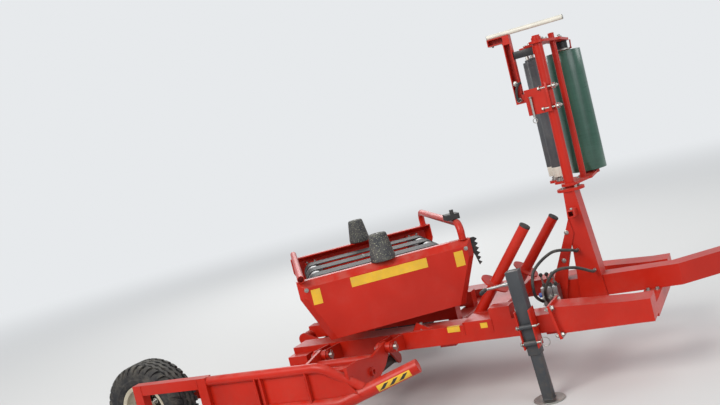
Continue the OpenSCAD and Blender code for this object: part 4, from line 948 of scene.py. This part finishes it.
# Loader hinge: washers, zinc pin ends and their clips
CLIP = ((0, 24), (0, -22), (2, -26), (10, -24), (18, -8), (16.4, 4), (21, 16), (10, 27), (0, 24))
hinge = Shape()
for x in (-130, 290):
    at = Vector((x, -700, 430))
    hinge.look = 0
    for near, far, r in ((43, 49, 27), (50.5, 56, 25)):
        hinge.lathe([(15.4, near), (r - 1, near), (r, near + 1), (r, far - 1), (r - 1, far), (15.4, far)],
                    facing(at, (1, 0, 0)), 40, closed=True)
    hinge.lathe([(15.4, 43), (27, 43), (27, 49), (15.4, 49)], facing(at, (-1, 0, 0)), 40, closed=True)
    hinge.look = 1
    hinge.lathe([(15.2, 56.2), (15.8, 56.6), (15.8, 76), (13.5, 78.4), (0, 78.8)], facing(at, (1, 0, 0)), 32)
    hinge.lathe([(15.2, 49), (15.8, 49.6), (15.8, 59), (14, 62), (0, 62.4)], facing(at, (-1, 0, 0)), 32)
    clip = at + Vector((67, 0, 0))
    hinge.tube(spline([clip + Vector((0, y, z)) for y, z in CLIP], 5), 1.9, 8)
hinge.make("hinge_pins", "chassis", [RED, ZINC], smooth=34)

# Weld beads on the arms' inner faces
arms = Shape()
for x, side in ((-130, 1), (290, -1)):
    face = x + side * 9.8
    for y, z, r, size in ((-772, 394, 28, 3.4), (-1000, 420, 21, 3.2)):
        arms.bead([(face, y + r * math.cos(a), z + r * math.sin(a))
                   for a in [2 * math.pi * k / 20 for k in range(20)]], size, closed=True)
arms.make("arm_welds", "loader", [RED], smooth=60)

# Side frame: weld beads at its corners
side_frame = Shape()
for x in (-1050, -640):
    for z, rise in ((323.4, -60), (469.6, 60)):
        for y in (-1230.6, -1169.4):
            side_frame.bead([(x, y, z), (x, y, z + rise)], 3.0)
for middle in (-262, -226, 60):
    for x in (middle - 5, middle + 5):
        side_frame.bead([(x, -1226, 336), (x, -1226, 476)], 2.6)
side_frame.bead([(-1111, -1230, 262.5), (-1030, -1230, 262.5)], 3.4)
side_frame.bead([(-1029.4, -1231, 264), (-1029.4, -1231, 342)], 3.4)
side_frame.make("side_frame_welds", "loader", [RED], smooth=60)

# The foil with slanting bars near the inner tine's tip
INNER_TINE = ((220, -1200, 300), (644, -1080, 420))
OUTER_TINE = ((300, -2100, 160), (700, -2100, 260))
TIP = Vector(INNER_TINE[1])
AHEAD = (TIP - Vector(INNER_TINE[0])).normalized()
CAMERA_SIDE = Vector((0.414, -0.873, 0.262))
TOWARD = (CAMERA_SIDE - AHEAD * CAMERA_SIDE.dot(AHEAD)).normalized()
UNDER = AHEAD.cross(TOWARD)


def on_tine(along, angle, layer):
    """A point of the tine's skin: mm before its tip, degrees below the side that faces the camera."""
    a = math.radians(angle)
    return TIP - AHEAD * along + layer * (math.cos(a) * TOWARD + math.sin(a) * UNDER)


def patch(shape, corners, low, high, rows, across):
    """A curved foil between four (along, angle) corners, from one skin radius to another."""
    verts, faces = [], []
    for layer in (high, low):
        for i in range(rows + 1):
            for k in range(across + 1):
                s, t = i / rows, k / across
                shares = ((1 - s) * (1 - t), s * (1 - t), s * t, (1 - s) * t)
                along, angle = (sum(w * c[n] for w, c in zip(shares, corners)) for n in (0, 1))
                verts.append(on_tine(along, angle, layer))
    width = across + 1
    size = (rows + 1) * width
    for i in range(rows):
        for k in range(across):
            a = i * width + k
            faces.append((a, a + 1, a + width + 1, a + width))
            faces.append((size + a, size + a + width, size + a + width + 1, size + a + 1))
    rim = (list(range(width)) + [i * width + across for i in range(1, rows + 1)]
           + [rows * width + k for k in range(across - 1, -1, -1)]
           + [i * width for i in range(rows - 1, 0, -1)])
    for a, b in zip(rim, rim[1:] + rim[:1]):
        faces.append((a, size + a, size + b, b))
    shape.add(verts, faces)


tine_foil = Shape()
patch(tine_foil, ((44, -3), (236, -3), (236, 56), (44, 56)), 37.1, 37.6, 12, 8)
tine_foil.look = 1
for k in range(3):
    at = 56 + 56 * k
    patch(tine_foil, ((at, 7), (at + 25, 7), (at + 62, 46), (at + 36, 46)), 37.4, 37.9, 2, 6)
tine_foil.make("tine_foil", "loader", [STICKER, BLACK], smooth=40)

# End discs and seams of the tines
tines = Shape()
for start, tip in (INNER_TINE, OUTER_TINE):
    place = facing(tip, Vector(tip) - Vector(start))
    tines.bead(circle(place, 34.6, 28, -0.4), 2.0, closed=True)
for x in (-1111, -1029.4):
    tines.bead([(x, -2070.6, 200), (x, -2070.6, 342)], 3.2)
tines.make("tine_welds", "loader", [RED], smooth=60)


def cylinder_trim(name, body, foot, head, across, length, radius, pin):
    """Gland nut, port unions and the weld at the eye, in the barrel's own direction."""
    foot, head = Vector(foot), Vector(head)
    ahead = (head - foot).normalized()
    up = ahead.cross(Vector(across)).normalized()
    if up.z < 0:
        up = -up
    s = Shape()
    place = facing(foot, ahead)
    s.lathe([(radius + 0.3, length - 34), (radius + 2.2, length - 33), (radius + 2.2, length - 2),
             (radius - 1, length + 0.6), (pin - 1.6, length + 0.8), (pin - 1.6, length - 3)], place, 60)
    s.bead(circle(place, radius - 2, 24, pin + 5), 3.0, closed=True)
    s.look = 1
    for at in (length - 60, pin + 34):
        base = foot + ahead * at + up * (radius + 5)
        s.lathe([(10.1, 0), (12.6, 0), (12.6, 8), (10.1, 8)], facing(base, up, 15), 6, closed=True)
    s.make(name, body, [BLACK, ZINC], smooth=34)


cylinder_trim("tilt_gland", "tilt_barrel", (-230, 245, 220), (300, 245, 420), (0, 1, 0), 460, 36, 20)
cylinder_trim("lift_gland", "lift_barrel", (65, -200, 220), (65, -700, 230), (1, 0, 0), 300, 28, 16)

# Right rail: blank foils round its edge, and a union by the gusset
rail = Shape()
for left, right, low in ((615, 690, 423), (815, 856, 425)):
    front = [(left, -530.8, low), (right, -530.8, low), (right, -530.8, 455.8), (left, -530.8, 455.8)]
    rail.foil(front, [(x, -529.9, z) for x, _, z in front])
    upper = [(left, -530.8, 455.8), (right, -530.8, 455.8), (right, -508, 455.8), (left, -508, 455.8)]
    rail.foil(upper, [(x, y, 454.9) for x, y, _ in upper])
rail.make("rail_foils", "chassis", [STICKER], smooth=30)
union = Shape()
union.lathe([(0, 0), (15, 0), (15, 6), (11, 7), (11, 12), (12.5, 13), (12.5, 18), (11, 19), (11, 24),
             (12.5, 25), (12.5, 30), (11, 31), (11, 40), (9, 42), (0, 42)], shift_to(446, -490, 454.5), 32)
union.make("rail_union", "chassis", [ZINC], smooth=30)

# Weld beads of the main and front frames
beads = Shape()
for side in (-1, 1):
    inner = side * 370.6
    for x in (-370, 530, 1175):
        beads.bead([(x - 50, inner, 357), (x - 50, inner, 400), (x + 50, inner, 400), (x + 50, inner, 357)],
                   3.6)
    for y in (side * 370, side * 530):
        beads.bead([(1213 - 1 / 3, y, 457), (1226, y, 400), (1236, y, 357)], 3.4)
    beads.bead([(1256, side * 530.5, 346), (1231, side * 530.5, 486)], 3.4)
    beads.bead([(1641, side * 369.4, 401), (1739, side * 369.4, 401)], 3.6)
beads.bead([(880, -530.5, 456), (880, -439, 456)], 3.4)
beads.bead([(881, -439.4, 456), (999, -439.4, 456)], 3.4)
beads.bead([(470 - 78, -476.6, 456), (510, -476.6, 456)], 3.0)
for y in (-531, 531):
    for x in (716, 884):
        beads.bead([(x, y, 401), (x, y, 469)], 3.4)
for y in (-688.6, -611.4):
    beads.bead([(-1389, y, 340.6), (-1290, y, 340.6)], 3.2)
beads.make("frame_welds", "chassis", [RED], smooth=60)

# Towing eye: a worn steel ring at each end of the hole
EYE_RING = ((25.2, 15.4), (33, 15.4), (33.8, 14.9), (25.0, 14.9))
eye = Shape()
for way in (-1, 1):
    eye.lathe([(r, way * z) for r, z in EYE_RING], shift_to(2400, 420, 460), 48, closed=True)
eye.make("towing_eye_ring", "chassis", [STEEL], smooth=40)
